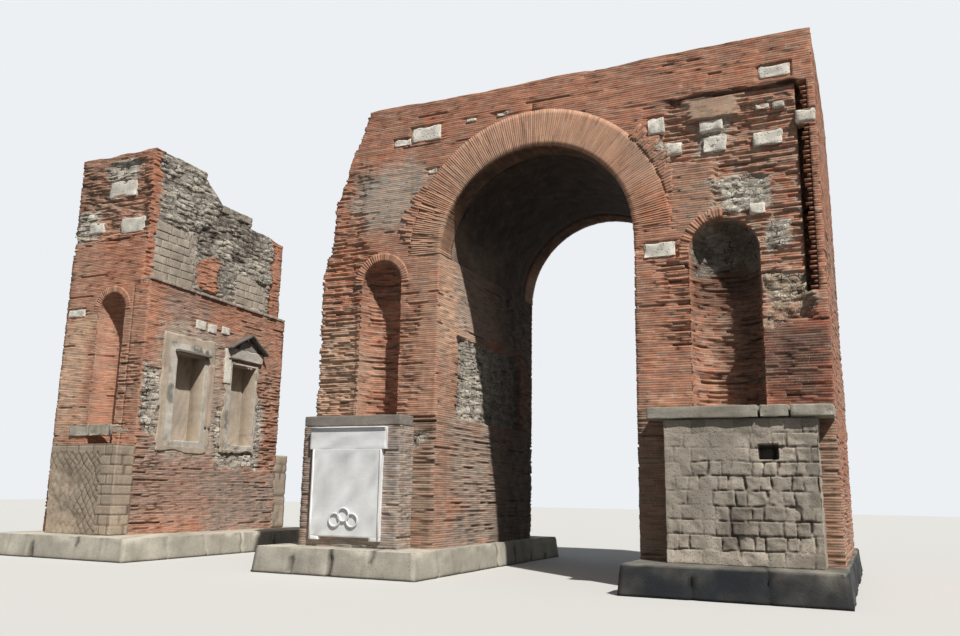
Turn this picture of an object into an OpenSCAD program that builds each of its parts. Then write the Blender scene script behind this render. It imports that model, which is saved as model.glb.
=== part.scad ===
/* [Archway] */
// Clear width between the two jambs of the archway
opening_w = 4500; // [4200:50:4900]
// Height of the arch springing above the ground
springing_z = 7100; // [6900:50:7300]
// Radial thickness of the brick arch rings and of the vault between them
ring_t = 820; // [700:20:900]
// Depth of the front and the rear arch ring, measured into the wall
ring_depth = 620; // [450:10:900]
// Brickwork over the crown of the rings, up to the attic wall
crown_cover = 190; // [120:10:300]
// Height of the attic wall
attic_h = 560; // [450:10:700]
// Depth of the arch and of the three piers, front to rear
depth = 5900; // [5600:50:6400]

/* [Piers] */
// Width of the right pier
right_pier_w = 3650; // [3600:10:3900]
// Width of the middle pier at its foot
middle_pier_w = 3240; // [3200:10:3400]
// Clear width of the lost central archway, between the left and the middle pier
central_gap = 5560; // [5200:20:6200]
// Width of the left pier without the lining of its passage face
left_pier_w = 2810; // [2780:10:3000]
// Height of the left pier at its front edge
left_pier_top = 11120; // [11000:20:11400]
// Thickness of the brick lining on the passage face of the left pier
lining_t = 260; // [200:10:320]
// Height of the sloping ledge on top of that lining, at its front end
ledge_z = 7380; // [7340:10:7500]
// Fall of the ledge towards the rear
ledge_fall = 120; // [60:10:160]
// Thickness of the ledge
ledge_t = 90; // [60:10:140]
// Distance that the ledge stands out past the lining
ledge_out = 60; // [30:5:100]

/* [Plinths] */
// Height of the stone plinths
plinth_h = 550; // [450:10:650]
// Distance that the plinths stand out at the front and at the rear
plinth_out = 1300; // [1100:20:1500]
// Slope of a plinth's sides, foot past top edge
plinth_batter = 60; // [20:5:100]
// Width of the joints between plinth stones
plinth_joint = 14; // [8:1:24]
// Depth of those joints
plinth_joint_depth = 40; // [20:5:80]

/* [Pedestals] */
// Height of the top of the pedestals, under their caps
pedestal_top = 3150; // [3000:10:3300]
// Distance that the pedestals stand out from the wall
pedestal_out = 580; // [480:10:680]
// Height of the pedestal caps
cap_h = 250; // [180:10:320]
// Distance that the right cap stands out past its pedestal
cap_out = 100; // [60:10:140]
// Height of the broken top of the left pedestal
left_pedestal_top = 2830; // [2600:10:2950]
// Height of one course of tufa blocks in the right pedestal
tufa_course_h = 260; // [220:10:320]
// Depth of the joints between tufa blocks
tufa_joint_depth = 25; // [15:5:40]

/* [Niches] */
// Radius of the niche in the right pier
right_niche_r = 680; // [600:10:720]
// Radius of the niche in the middle pier
middle_niche_r = 540; // [480:10:580]
// Radius of the niche in the left pier
left_niche_r = 490; // [440:10:540]
// Distance from the springing of the niches' heads down from the arch springing
niche_drop = 580; // [500:10:700]
// Radial thickness of the brick rings round the niches' heads
niche_ring_t = 190; // [140:10:240]

/* [Shrines] */
// Width of each shrine recess
shrine_w = 1090; // [1000:10:1200]
// Height of each shrine recess
shrine_h = 2430; // [2300:10:2550]
// Height of the sills of the shrine recesses
shrine_sill = 3030; // [2950:10:3100]
// Depth of the shrine recesses from the face of the lining
shrine_deep = 480; // [380:10:600]
// Thickness of the plaster frames on the lining
plaster_t = 70; // [40:5:100]

/* [Broken facing] */
// Depth to which the facing is torn off the walls
torn_deep = 200; // [140:10:240]
// Depth of the upright chase beside the toothed brick strip
chase_deep = 460; // [360:10:560]
// Width of that chase
chase_w = 230; // [180:10:260]
// Height of one brick course with its mortar bed
course_h = 48; // [44:1:56]
// Length of the brick teeth that stand into the chase
tooth_l = 150; // [100:10:170]
// Depth of the rubble bands in the passage walls
band_deep = 150; // [100:10:200]

/* [Marble tablet] */
// Width of the tablet's head
tablet_head_w = 1960; // [1800:20:2100]
// Width of the tablet's body
tablet_w = 1780; // [1600:20:1860]
// Height of the tablet's head
tablet_head_h = 490; // [400:10:560]
// Thickness of the tablet
tablet_t = 90; // [60:5:120]
// Radius of each of the three laurel rings, to the middle of its band
laurel_r = 138; // [120:2:150]
// Radius of the laurel band itself
laurel_band_r = 22; // [16:1:30]

/* [Hidden] */

brick = [0.68, 0.37, 0.26];
dark_brick = [0.50, 0.36, 0.30];
ring_brick = [0.74, 0.47, 0.34];
soot = [0.30, 0.25, 0.22];
tufa = [0.52, 0.46, 0.38];
rubble = [0.60, 0.56, 0.50];
limestone = [0.78, 0.75, 0.68];
marble = [0.90, 0.90, 0.88];
plaster = [0.80, 0.78, 0.74];

// Places along the front, from the middle of the archway
arch_r = opening_w / 2;
right_x0 = arch_r;
right_x1 = right_x0 + right_pier_w;
middle_x1 = -arch_r;
middle_x0 = middle_x1 - middle_pier_w;
lining_x = middle_x0 - central_gap;
left_x1 = lining_x - lining_t;
left_x0 = left_x1 - left_pier_w;

// Heights
sill_z = pedestal_top + cap_h;
crown_z = springing_z + arch_r + ring_t;
attic_z = crown_z + crown_cover;
wall_top = attic_z + attic_h;
niche_z = springing_z - niche_drop;
break_z = ledge_z - ledge_fall - ledge_t;

haunch_h = attic_z - springing_z;
left_upper_h = left_pier_top - ledge_z;

// Plinths: how far the top edge stands out at the left and the right of the pier, and a stone's length
right_plinth_left = 50;
right_plinth_right = 80;
right_plinth_stone = 1250;
middle_plinth_left = 400;
middle_plinth_right = 280;
middle_plinth_stone = 1100;
left_plinth_left = 220;
left_plinth_right = 1560;
left_plinth_stone = 1400;
plinth_x0 = left_x0 - left_plinth_left - plinth_batter;
plinth_x1 = right_x1 + right_plinth_right + plinth_batter;

// Pedestals: inset from the archway's jamb, and what they leave free at their other side
right_pedestal_inset = 640;
right_pedestal_margin = 290;
right_pedestal_w = right_pier_w - right_pedestal_inset - right_pedestal_margin;
middle_pedestal_inset = 530;
middle_pedestal_margin = 190;
middle_pedestal_w = middle_pier_w - middle_pedestal_inset - middle_pedestal_margin;
left_pedestal_margin = 720;
left_pedestal_w = left_pier_w + lining_t - left_pedestal_margin;
right_ped_x = right_x0 + right_pedestal_inset;
middle_ped_x = middle_x1 - middle_pedestal_inset - middle_pedestal_w;
left_ped_x = lining_x - left_pedestal_w;

// The block lost from the right pedestal
lost_block_w = 340;
lost_block_deep = 260;

// The right cap runs on past its pedestal, in three slabs with open joints, each a little lower
cap_lap = 310;
cap_joint = 12;
cap_step = 8;
cap_cut_1 = 0.62;
cap_cut_2 = 0.78;

// Middles of the niches
right_niche_share = 0.4904;
right_niche_x = right_x0 + right_niche_share * right_pier_w;
middle_niche_x = middle_x1 - 0.4691 * middle_pier_w;
left_niche_x = left_x1 - 0.3772 * left_pier_w;
niche_ring_depth = 150;

// The right pier beside its niche is made in three parts: jamb, niche and corner
niche_part_x0 = right_niche_x - right_niche_r - niche_ring_t - 20;
niche_part_x1 = right_niche_x + right_niche_r + niche_ring_t + 20;
niche_part_top = niche_z + right_niche_r + niche_ring_t + 10;

// The rubble bands in the passage walls: front end, rear end and upper edge
band_y0 = 1100;
band_y1 = 4900;
band_drop = 1750;
band_z1 = springing_z - band_drop;

// How far back stone blocks reach into the wall, and how far the vault's soffit lies behind the rings
stone_deep = 380;
soffit_step = 15;

// The stone sill left over the left pedestal
sill_slab_h = 330;
sill_slab_deep = 260;
sill_slab_inset = 640;
sill_slab_out = 60;
sill_slab_joint = 10;

// Shrines on the lining: where the recesses start, front to rear
first_shrine_y = 1230;
second_shrine_y = 3500;

// Their frames: how far each reaches in front of, behind, under and over its recess
first_frame_front = 560;
first_frame_rear = 420;
first_frame_sill = 330;
first_frame_head = 560;
second_frame_front = 380;
second_frame_rear = 190;
second_frame_sill = 330;
second_frame_head = 120;
cornice_out = 110;
cornice_h = 130;
cornice_lap = 120;

// The gable over the second shrine: lap, height over the recess, rise, thicknesses
gable_lap = 340;
gable_lift = 480;
gable_rise = 520;
gable_lean = 60;
gable_field_t = 110;
gable_field_h = 360;
gable_out = 260;
gable_rail = 90;

// The upper passage face of the left pier
torn_t = 150;
front_edge_w = 300;
rear_edge_w = 540;
patch_w = 0.28 * depth;
patch_h = 0.4545 * left_upper_h;
top_course_t = torn_t + 10;
top_course_set = 12;
top_joint = 8;
spare = 40;

// The tablet: place, notch between its feet, head moulding and side fillets
tablet_shift = 30;
tablet_x = middle_ped_x + middle_pedestal_w / 2 - tablet_shift;
tablet_lift = 140;
tablet_z0 = plinth_h + tablet_lift;
tablet_cap_gap = 20;
foot_w = 250;
notch_h = 70;
moulding_out = 45;
moulding_h = 75;
moulding_lip = 30;
fillet_w = 40;
fillet_out = 18;
laurel_z = 430;
laurel_lap = 100;
laurel_rise = 115;
laurel_pitch = 2 * (laurel_r + laurel_band_r) - laurel_lap;
ring_seat = 0.2;

// The toothed strip at the right corner
strip_w = 145;
strip_t = 240;
mortar_h = 8;
brick_h = course_h - mortar_h;
tooth_y0 = 15;
tooth_y1 = 125;
strip_x = right_x1 - strip_w;
strip_below = 1500;
strip_above = 2700;
strip_z0 = springing_z - strip_below;
strip_z1 = springing_z + strip_above;

// Moves a piece from the middle of the archway's front to the frame's origin,
// which lies on the ground under the middle of the whole monument
module place() translate([-(plinth_x0 + plinth_x1) / 2, -depth / 2, 0]) children();

// A block between two corners
module block(a, b) translate(a) cube(b - a);

// A flat outline in x and z, carried from y0 back to y1
module elevation(y0, y1)
    translate([0, y1, 0]) rotate([90, 0, 0]) linear_extrude(y1 - y0) children();

// An outline in y and z, carried from x0 to x1
module side_profile(x0, x1)
    translate([x0, 0, 0]) rotate([90, 0, 90]) linear_extrude(x1 - x0) children();

// The same thing at the front and, mirrored, at the rear
module both_fronts() {
    children();
    translate([0, depth, 0]) mirror([0, 1, 0]) children();
}

// The space of a niche: half a cylinder under a quarter of a sphere
module niche_space(x, r) {
    translate([x, 0, sill_z]) cylinder(h = niche_z - sill_z, r = r, $fn = 64);
    translate([x, 0, niche_z]) sphere(r = r, $fn = 64);
}

// The brick ring round a niche's head, from one angle to another, in degrees
module niche_ring(x, r, a0, a1) elevation(0, niche_ring_depth) intersection() {
    translate([x, niche_z]) difference() {
        circle(r = r + niche_ring_t, $fn = 96);
        circle(r = r, $fn = 96);
    }
    translate([x, niche_z]) polygon(concat([[0, 0]], [for (i = [0:6])
        let (a = a0 + (a1 - a0) * i / 6) 2 * r * [cos(a), sin(a)]]));
}

// A plinth: a low battered base with its upright joints cut round it
module plinth(x0, x1, left_out, right_out, stone) {
    w0 = x0 - left_out;
    w1 = x1 + right_out;
    n = max(2, round((w1 - w0) / stone));
    m = max(2, round((depth + 2 * plinth_out) / stone));
    difference() {
        intersection() {
            elevation(-plinth_out - plinth_batter, depth + plinth_out + plinth_batter)
                polygon([[w0 - plinth_batter, 0], [w1 + plinth_batter, 0], [w1, plinth_h], [w0, plinth_h]]);
            side_profile(w0 - plinth_batter, w1 + plinth_batter)
                polygon([[-plinth_out - plinth_batter, 0], [depth + plinth_out + plinth_batter, 0],
                    [depth + plinth_out, plinth_h], [-plinth_out, plinth_h]]);
        }
        for (i = [1:n - 1]) both_fronts()
            translate([w0 + (w1 - w0) * i / n, -plinth_out - 2 * plinth_batter, -1])
                cube([plinth_joint, 2 * plinth_batter + plinth_joint_depth, plinth_h + 2]);
        for (j = [1:m - 1], e = [0, 1])
            translate([e == 0 ? w0 - 2 * plinth_batter : w1 - plinth_joint_depth,
                -plinth_out + (depth + 2 * plinth_out) * j / m, -1])
                cube([2 * plinth_batter + plinth_joint_depth, plinth_joint, plinth_h + 2]);
    }
}

module right_plinth() color(limestone) place()
    plinth(right_x0, right_x1, right_plinth_left, right_plinth_right, right_plinth_stone);
module middle_plinth() color(limestone) place()
    plinth(middle_x0, middle_x1, middle_plinth_left, middle_plinth_right, middle_plinth_stone);
module left_plinth() color(limestone) place()
    plinth(left_x0, left_x1, left_plinth_left, left_plinth_right, left_plinth_stone);

// The piers from the plinth up to the niches' sills
module right_lower_pier() color(dark_brick) place()
    block([right_x0, 0, plinth_h], [right_x1, depth, sill_z]);
module middle_lower_pier() color(dark_brick) place()
    block([middle_x0, 0, plinth_h], [middle_x1, depth, sill_z]);

// The right pedestal: a panel of tufa blocks, with its bed joints and one lost block
module right_pedestal() color(tufa) place() both_fronts() difference() {
    block([right_ped_x, -pedestal_out, plinth_h], [right_ped_x + right_pedestal_w, 0, pedestal_top]);
    for (z = [plinth_h + tufa_course_h : tufa_course_h : pedestal_top - tufa_course_h / 2])
        translate([right_ped_x - 1, -pedestal_out - 1, z])
            cube([right_pedestal_w + 2, tufa_joint_depth + 1, plinth_joint]);
    translate([right_ped_x + right_pedestal_w * 0.62, -pedestal_out - 1,
        pedestal_top - 2.85 * tufa_course_h])
        cube([lost_block_w, lost_block_deep, tufa_course_h]);
}

// Its cap: three slabs side by side
module right_pedestal_cap() color(limestone) place() both_fronts() {
    x0 = right_ped_x - cap_lap;
    x1 = right_x1;
    cuts = [x0, x0 + cap_cut_1 * (x1 - x0), x0 + cap_cut_2 * (x1 - x0), x1];
    for (i = [0:2])
        block([cuts[i], -pedestal_out - cap_out, pedestal_top],
            [cuts[i + 1] - (i < 2 ? cap_joint : 0), 0, sill_z - cap_step * i]);
}

// The middle pedestal: brick, with a plain grey band for a cap
module middle_pedestal() color(dark_brick) place() both_fronts()
    block([middle_ped_x, -pedestal_out, plinth_h], [middle_ped_x + middle_pedestal_w, 0, pedestal_top]);
module middle_pedestal_cap() color(limestone) place() both_fronts()
    block([middle_ped_x, -pedestal_out, pedestal_top], [middle_ped_x + middle_pedestal_w, 0, sill_z]);

// The tablet on the middle pedestal: eared head with a moulding, body, and a notch between two feet
module marble_tablet() color(marble) place() {
    y0 = -pedestal_out - tablet_t;
    head_z = pedestal_top - tablet_cap_gap;
    neck_z = head_z - tablet_head_h;
    elevation(y0, -pedestal_out) difference() {
        union() {
            translate([tablet_x - tablet_w / 2, tablet_z0]) square([tablet_w, head_z - tablet_z0]);
            translate([tablet_x - tablet_head_w / 2, neck_z]) square([tablet_head_w, tablet_head_h]);
        }
        translate([tablet_x - tablet_w / 2 + foot_w, tablet_z0 - 1])
            square([tablet_w - 2 * foot_w, notch_h + 1]);
    }
    side_profile(tablet_x - tablet_head_w / 2, tablet_x + tablet_head_w / 2)
        polygon([[y0, head_z], [y0 - moulding_out, head_z], [y0 - moulding_out, head_z - moulding_lip],
            [y0, head_z - moulding_h]]);
    for (e = [-1, 1]) {
        x = tablet_x + e * (tablet_w - fillet_w) / 2;
        block([x - fillet_w / 2, y0 - fillet_out, tablet_z0 + fillet_w / 2], [x + fillet_w / 2, y0, neck_z]);
    }
}

// Three laurel rings, laced through each other
module laurel_rings() color(marble) place() for (i = [-1:1])
    translate([tablet_x + i * laurel_pitch, -pedestal_out - tablet_t - laurel_band_r - ring_seat,
        tablet_z0 + laurel_z + (i == 0 ? laurel_rise : 0)])
        rotate([90, 0, 0]) rotate_extrude($fn = 48)
            translate([laurel_r, 0]) circle(r = laurel_band_r, $fn = 16);

// Damage is given in shares: across by the pier's width, and up by the haunch's height
function torn_points(list, x0, w) = [for (p = list) [x0 + p[0] * w, springing_z + p[1] * haunch_h]];

// The outline of the facing torn off the right pier and its haunch
module right_torn_outline() polygon(torn_points([
    [0.219, 0.847], [0.921, 0.841], [0.921, -0.629], [0.753, -0.629], [0.712, -0.537],
    [right_niche_share, -0.537], [right_niche_share, 0.018], [0.444, 0.046], [0.452, 0.233],
    [0.468, 0.396], [0.181, 0.439], [0.162, 0.506], [0.167, 0.62], [0.2, 0.767]], right_x0, right_pier_w));

// Everything that is cut out of the right pier's front: facing, chase and the strip's seat
module right_front_cuts() {
    elevation(-1, torn_deep) right_torn_outline();
    block([strip_x - chase_w, -1, strip_z0], [strip_x, chase_deep, strip_z1]);
    block([strip_x, -1, strip_z0], [right_x1 + 1, strip_t, strip_z1]);
    stone_pockets(right_stones);
}

module right_pier_part(x0, x1, top) difference() {
    block([x0, 0, sill_z], [x1, depth, top]);
    right_front_cuts();
    right_niche_cuts();
    passage_band_space(1);
}
module right_jamb_pier() color(brick) place() right_pier_part(right_x0, niche_part_x0, springing_z);
module right_niche_pier() color(brick) place()
    right_pier_part(niche_part_x0, niche_part_x1, niche_part_top);
module right_corner_pier() color(brick) place() right_pier_part(niche_part_x1, right_x1, springing_z);
module right_niche_cuts() {
    both_fronts() niche_space(right_niche_x, right_niche_r);
    right_niche_rings();
}

// The rings of the right niches: at the front the right half has fallen
module right_niche_rings() {
    niche_ring(right_niche_x, right_niche_r, 90, 180);
    translate([0, depth, 0]) mirror([0, 1, 0]) niche_ring(right_niche_x, right_niche_r, 0, 180);
}
module right_niche_ring() color(ring_brick) place() right_niche_rings();

// A haunch: what fills the wall between the rings and its outer edge, over the springing
module haunch(outline) difference() {
    elevation(0, depth) difference() {
        polygon(outline);
        translate([0, springing_z]) circle(r = arch_r + ring_t, $fn = 180);
    }
    children();
}

module right_haunch() color(brick) place()
    haunch([[0, springing_z], [right_x1, springing_z], [right_x1, attic_z], [0, attic_z]]) {
        right_front_cuts();
        block([niche_part_x0, -1, springing_z - 1], [niche_part_x1, depth + 1, niche_part_top]);
    }

// The brick strip at the right corner, with every second course standing out as a tooth
module toothed_brick_strip() color(brick) place() difference() {
    n = floor((strip_z1 - strip_z0) / (2 * course_h));
    union() {
        block([strip_x, 0, strip_z0], [right_x1, strip_t, strip_z1]);
        for (i = [0:n - 1]) let (z = strip_z0 + course_h * (2 * i + 0.5))
            block([strip_x - tooth_l, tooth_y0, z], [strip_x, tooth_y1, z + brick_h]);
    }
    stone_pockets(right_stones);
}

// Limestone blocks in a front: left and right edge in shares of the pier's width, lower and upper edge
// in shares of a height over the level z0, and how far back the face lies in shares of a block's depth
function placed(list, x0, w, z0, h) = [for (q = list)
    [x0 + q[0] * w, x0 + q[1] * w, z0 + q[2] * h, z0 + q[3] * h, q[4] * stone_deep]];
right_stones = placed([
    [0.712, 0.89, 0.883, 0.972, 0],
    [0.088, 0.192, 0.629, 0.748, -0.08],
    [0.688, 0.764, 0.693, 0.736, 0.16],
    [0.773, 0.849, 0.687, 0.733, 0.13],
    [0.89, 1, 0.561, 0.653, -0.03],
    [0.375, 0.518, 0.601, 0.69, 0.18],
    [0.395, 0.532, 0.466, 0.577, 0.21],
    [0.175, 0.288, 0.479, 0.577, 0.18],
    [0.666, 0.83, 0.457, 0.561, 0.18],
    [0.049, 0.238, -0.19, -0.086, -0.04],
    [0.627, 0.723, 0.028, 0.11, 0.16]], right_x0, right_pier_w, springing_z, haunch_h);
middle_stones = placed([
    [-0.262, -0.009, 0.856, 0.979, -0.03],
    [-0.407, -0.264, 0.847, 0.908, -0.03],
    [0.185, 0.272, 0.942, 0.979, -0.03],
    [0.417, 0.519, 0.945, 0.982, -0.03],
    [-0.12, -0.04, 0.598, 0.641, -0.03]], middle_x1, middle_pier_w, springing_z, haunch_h);
left_stones = placed([
    [-0.612, -0.238, 0.65, 0.789, 0.11],
    [-0.833, -0.626, 0.38, 0.479, 0.05],
    [-0.402, -0.075, 0.353, 0.479, 0.05],
    [-0.89, -0.772, 0.511, 0.556, 0.05],
    [-0.986, -0.74, -0.265, -0.198, -0.04]], left_x1, left_pier_w, ledge_z, left_upper_h);

module stones(list) for (q = list) block([q[0], q[4], q[2]], [q[1], stone_deep, q[3]]);
module stone_pockets(list) for (q = list)
    block([q[0], -stone_deep, q[2]], [q[1] + (q[1] == right_x1 ? 1 : 0), stone_deep, q[3]]);

module right_stone_blocks() color(limestone) place() stones(right_stones);
module middle_stone_blocks() color(limestone) place() stones(middle_stones);
module left_stone_blocks() color(limestone) place() stones(left_stones);

// The band of rubble bared in each passage wall, at side -1 or 1 of the archway
module passage_band_space(side) block(
    [side > 0 ? arch_r - 1 : -arch_r - band_deep, band_y0, sill_z],
    [side > 0 ? arch_r + band_deep : -arch_r + 1, band_y1, band_z1]);
module passage_band(side)
    rough_panel(band_y0, band_y1, sill_z, band_z1, arch_r + band_deep, band_deep * 0.55, 18, 9, -side);

// A panel with a broken face, in the plane of y and z. Its flat back lies at side * back in x, and
// its face stands out from there by about t, rising and falling with a sum of sines.
function lump(u, v) = 0.25 * sin(u * 997 + v * 341) + 0.2 * sin(u * 463 - v * 719)
    + 0.15 * sin(v * 1531 + u * 211);
module rough_panel(y0, y1, z0, z1, back, t, nu, nv, dir) {
    function p(i, j, k) = let (u = i / nu, v = j / nv,
        edge = (i == 0 || j == 0 || i == nu || j == nv) ? 0 : 1)
        [-dir * (back - k * (t + edge * t * lump(u, v))), y0 + (y1 - y0) * u, z0 + (z1 - z0) * v];
    row = nu + 1;
    grid = row * (nv + 1);
    pts = concat([for (j = [0:nv], i = [0:nu]) p(i, j, 1)], [for (j = [0:nv], i = [0:nu]) p(i, j, 0)]);
    front = [for (j = [0:nv - 1], i = [0:nu - 1]) let (a = j * row + i) [a, a + 1, a + row + 1, a + row]];
    rear = [for (f = front) [f[3] + grid, f[2] + grid, f[1] + grid, f[0] + grid]];
    rim = concat([for (i = [0:nu - 1]) i], [for (j = [0:nv - 1]) j * row + nu],
        [for (i = [0:nu - 1]) nv * row + nu - i], [for (j = [0:nv - 1]) (nv - j) * row]);
    walls = [for (k = [0:len(rim) - 1]) let (a = rim[k], b = rim[(k + 1) % len(rim)])
        [a, a + grid, b + grid, b]];
    faces = concat(front, rear, walls);
    polyhedron(points = pts, faces = dir > 0 ? faces : [for (f = faces) [f[3], f[2], f[1], f[0]]]);
}

module right_passage_band() color(rubble) place() passage_band(1);
module middle_passage_band() color(rubble) place() passage_band(-1);

// Brick weathered back in front, along the middle pier's broken edge: below and over the springing
worn_deep = 45;
worn_low = [[-0.01, 0], [0.33, 0], [0.35, 0.45], [0.3, 0.8], [0.29, 1.01], [-0.01, 1.01]];
worn_high = [[-0.01, -0.01], [0.29, -0.01], [0.31, 0.25], [0.36, 0.5], [0.3, 0.7], [0.1, 0.72]];

// The middle pier over its pedestal, broken off unevenly at its left edge
broken_low = [[0, 0], [0.009, 0.297], [0.002, 0.581], [0, 0.77], [0.009, 1]];
module middle_niche_pier() color(brick) place() difference() {
    elevation(0, depth) polygon(concat([[middle_x1, springing_z], [middle_x1, sill_z]],
        [for (p = broken_low) [middle_x0 + p[0] * middle_pier_w, sill_z + p[1] * (springing_z - sill_z)]]));
    elevation(-1, worn_deep) polygon([for (p = worn_low)
        [middle_x0 + p[0] * middle_pier_w, sill_z + p[1] * (springing_z - sill_z)]]);
    middle_niche_cuts();
    passage_band_space(-1);
}
module middle_niche_cuts() both_fronts() {
    niche_space(middle_niche_x, middle_niche_r);
    niche_ring(middle_niche_x, middle_niche_r, 0, 180);
}
module middle_niche_ring() color(ring_brick) place() both_fronts()
    niche_ring(middle_niche_x, middle_niche_r, 0, 180);

// The broken left edge over the springing, and how far the attic wall is broken off at its foot and top
broken_foot = 0.304;
broken_top = 0.367;
broken_high = [[0.009, 0], [0.059, 0.104], [0.086, 0.31], [0.086, 0.463], [0.164, 0.653], [0.241, 0.856],
    [broken_foot, 1]];
module middle_haunch() color(dark_brick) place()
    haunch(concat([[0, attic_z], [0, springing_z]], torn_points(broken_high, middle_x0, middle_pier_w))) {
        elevation(-1, worn_deep) polygon(torn_points(worn_high, middle_x0, middle_pier_w));
        stone_pockets(middle_stones);
        middle_niche_cuts();
    }

// The attic wall runs over both haunches and the crown
module attic_wall() color(brick) place() elevation(0, depth)
    polygon([[middle_x0 + broken_foot * middle_pier_w, attic_z], [right_x1, attic_z], [right_x1, wall_top],
        [middle_x0 + broken_top * middle_pier_w, wall_top]]);

// One ring of the arch, or the vault between the rings, over the springing line
module arch_band(y0, y1, r_in, r_out) elevation(y0, y1) translate([0, springing_z]) intersection() {
    difference() {
        circle(r = r_out, $fn = 180);
        circle(r = r_in, $fn = 180);
    }
    translate([-r_out, 0]) square([2 * r_out, r_out]);
}
module front_arch_ring() color(ring_brick) place() arch_band(0, ring_depth, arch_r, arch_r + ring_t);
module rear_arch_ring() color(ring_brick) place()
    arch_band(depth - ring_depth, depth, arch_r, arch_r + ring_t);
module barrel_vault() color(soot) place()
    arch_band(ring_depth, depth - ring_depth, arch_r + soffit_step, arch_r + ring_t);

// The left pier up to the ledge, with its niches and the inner ends of the shrine recesses
module left_lower_pier() color(brick) place() difference() {
    block([left_x0, 0, plinth_h], [left_x1, depth, break_z]);
    left_niche_cuts();
    both_fronts() left_slab_space();
    shrine_spaces(left_x1 + 1);
    stone_pockets(left_stones);
}
module left_niche_cuts() both_fronts() {
    niche_space(left_niche_x, left_niche_r);
    niche_ring(left_niche_x, left_niche_r, 0, 180);
}
module left_niche_ring() color(ring_brick) place() both_fronts()
    niche_ring(left_niche_x, left_niche_r, 0, 180);

// The left pedestal, broken off lower than the others, and the stone sill left over it
module left_pedestal() color(tufa) place() both_fronts()
    block([left_ped_x, -pedestal_out, plinth_h], [lining_x, 0, left_pedestal_top]);
module left_slab_space()
    block([left_x0 + sill_slab_inset, -1, sill_z - sill_slab_h], [left_x1, sill_slab_deep, sill_z]);
module left_sill_slab() color(limestone) place() both_fronts()
    for (i = [0:2]) let (x0 = left_x0 + sill_slab_inset, w = (left_x1 - x0) / 3)
        block([x0 + i * w, -sill_slab_out * (1 - 0.4 * i), sill_z - sill_slab_h],
            [x0 + (i + 1) * w - (i < 2 ? sill_slab_joint : 0), sill_slab_deep, sill_z]);

// The two shrine recesses, cut from the passage side back to their rear wall
module shrine_spaces(x) for (y = [first_shrine_y, second_shrine_y])
    block([lining_x - shrine_deep, y, shrine_sill], [x, y + shrine_w, shrine_sill + shrine_h]);

// The brick lining of the passage face, under the sloping ledge
module passage_lining() color(brick) place() difference() {
    side_profile(left_x1, lining_x) polygon([[0, plinth_h], [depth, plinth_h],
        [depth, ledge_z - ledge_fall - ledge_t], [0, ledge_z - ledge_t]]);
    shrine_spaces(lining_x + 1);
}
module lining_ledge() color(dark_brick) place() side_profile(left_x1 - torn_t, lining_x + ledge_out)
    polygon([[0, ledge_z - ledge_t], [depth, ledge_z - ledge_fall - ledge_t],
        [depth, ledge_z - ledge_fall], [0, ledge_z]]);

// A plaster frame round a shrine recess
module shrine_frame(y, front, rear, sill, head) difference() {
    block([lining_x, y - front, shrine_sill - sill],
        [lining_x + plaster_t, y + shrine_w + rear, shrine_sill + shrine_h + head]);
    block([lining_x - 1, y, shrine_sill], [lining_x + plaster_t + 1, y + shrine_w, shrine_sill + shrine_h]);
}
module first_shrine_frame() color(plaster) place() {
    shrine_frame(first_shrine_y, first_frame_front, first_frame_rear, first_frame_sill, first_frame_head);
    block([lining_x + plaster_t, first_shrine_y - cornice_lap, shrine_sill + shrine_h],
        [lining_x + plaster_t + cornice_out, first_shrine_y + shrine_w + cornice_lap,
            shrine_sill + shrine_h + cornice_h]);
}
module second_shrine_frame() color(plaster) place()
    shrine_frame(second_shrine_y, second_frame_front, second_frame_rear, second_frame_sill,
        second_frame_head);

// The small gable over the second shrine: two raking cornices on a lumpy plaster field
module shrine_pediment() color(plaster) place() {
    y0 = second_shrine_y - gable_lap;
    y1 = second_shrine_y + shrine_w + gable_lap;
    ym = (y0 + y1) / 2 + gable_lean;
    z0 = shrine_sill + shrine_h + gable_lift;
    side_profile(lining_x, lining_x + gable_field_t)
        polygon([[y0 + gable_rail, z0 - gable_field_h], [y1 - gable_rail, z0 - gable_field_h],
            [y1 - gable_rail, z0], [ym, z0 + gable_rise - gable_rail / 2], [y0 + gable_rail, z0]]);
    side_profile(lining_x, lining_x + gable_out) polygon([[y0, z0], [ym, z0 + gable_rise], [y1, z0],
        [y1, z0 - gable_rail], [ym, z0 + gable_rise - gable_rail], [y0, z0 - gable_rail]]);
}

// The left pier over the ledge: a stepped top, with its facing torn off in front
// The steps are given in shares: back by the depth, and down by the height over the ledge
left_steps = [[0, 0], [0.349, 0], [0.349, -0.048], [0.48, -0.209], [0.72, -0.209], [0.72, -0.299],
    [1, -0.342]];
left_step_points = [for (p = left_steps) [p[0] * depth, left_pier_top + p[1] * left_upper_h]];
module left_top_profile() polygon(concat([[depth, break_z], [0, break_z]], left_step_points));
module over_ledge_profile() polygon(concat([[depth, ledge_z - ledge_fall], [0, ledge_z]], left_step_points));
module left_torn_outline() polygon([for (p = [
    [-0.669, -0.214], [-0.598, -0.07], [-0.157, -0.064], [-0.114, -0.214], [-0.043, -0.267],
    [-0.043, -0.495], [-0.078, -0.647], [-0.445, -0.647], [-0.676, -0.658], [-0.932, -0.642],
    [-0.932, -0.481], [-0.765, -0.417]])
    [left_x1 + p[0] * left_pier_w, left_pier_top + p[1] * left_upper_h]]);
module left_upper_pier() color(brick) place() difference() {
    side_profile(left_x0, left_x1 - torn_t) left_top_profile();
    elevation(-1, torn_deep * 0.6) left_torn_outline();
    stone_pockets(left_stones);
    left_niche_cuts();
}

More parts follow.
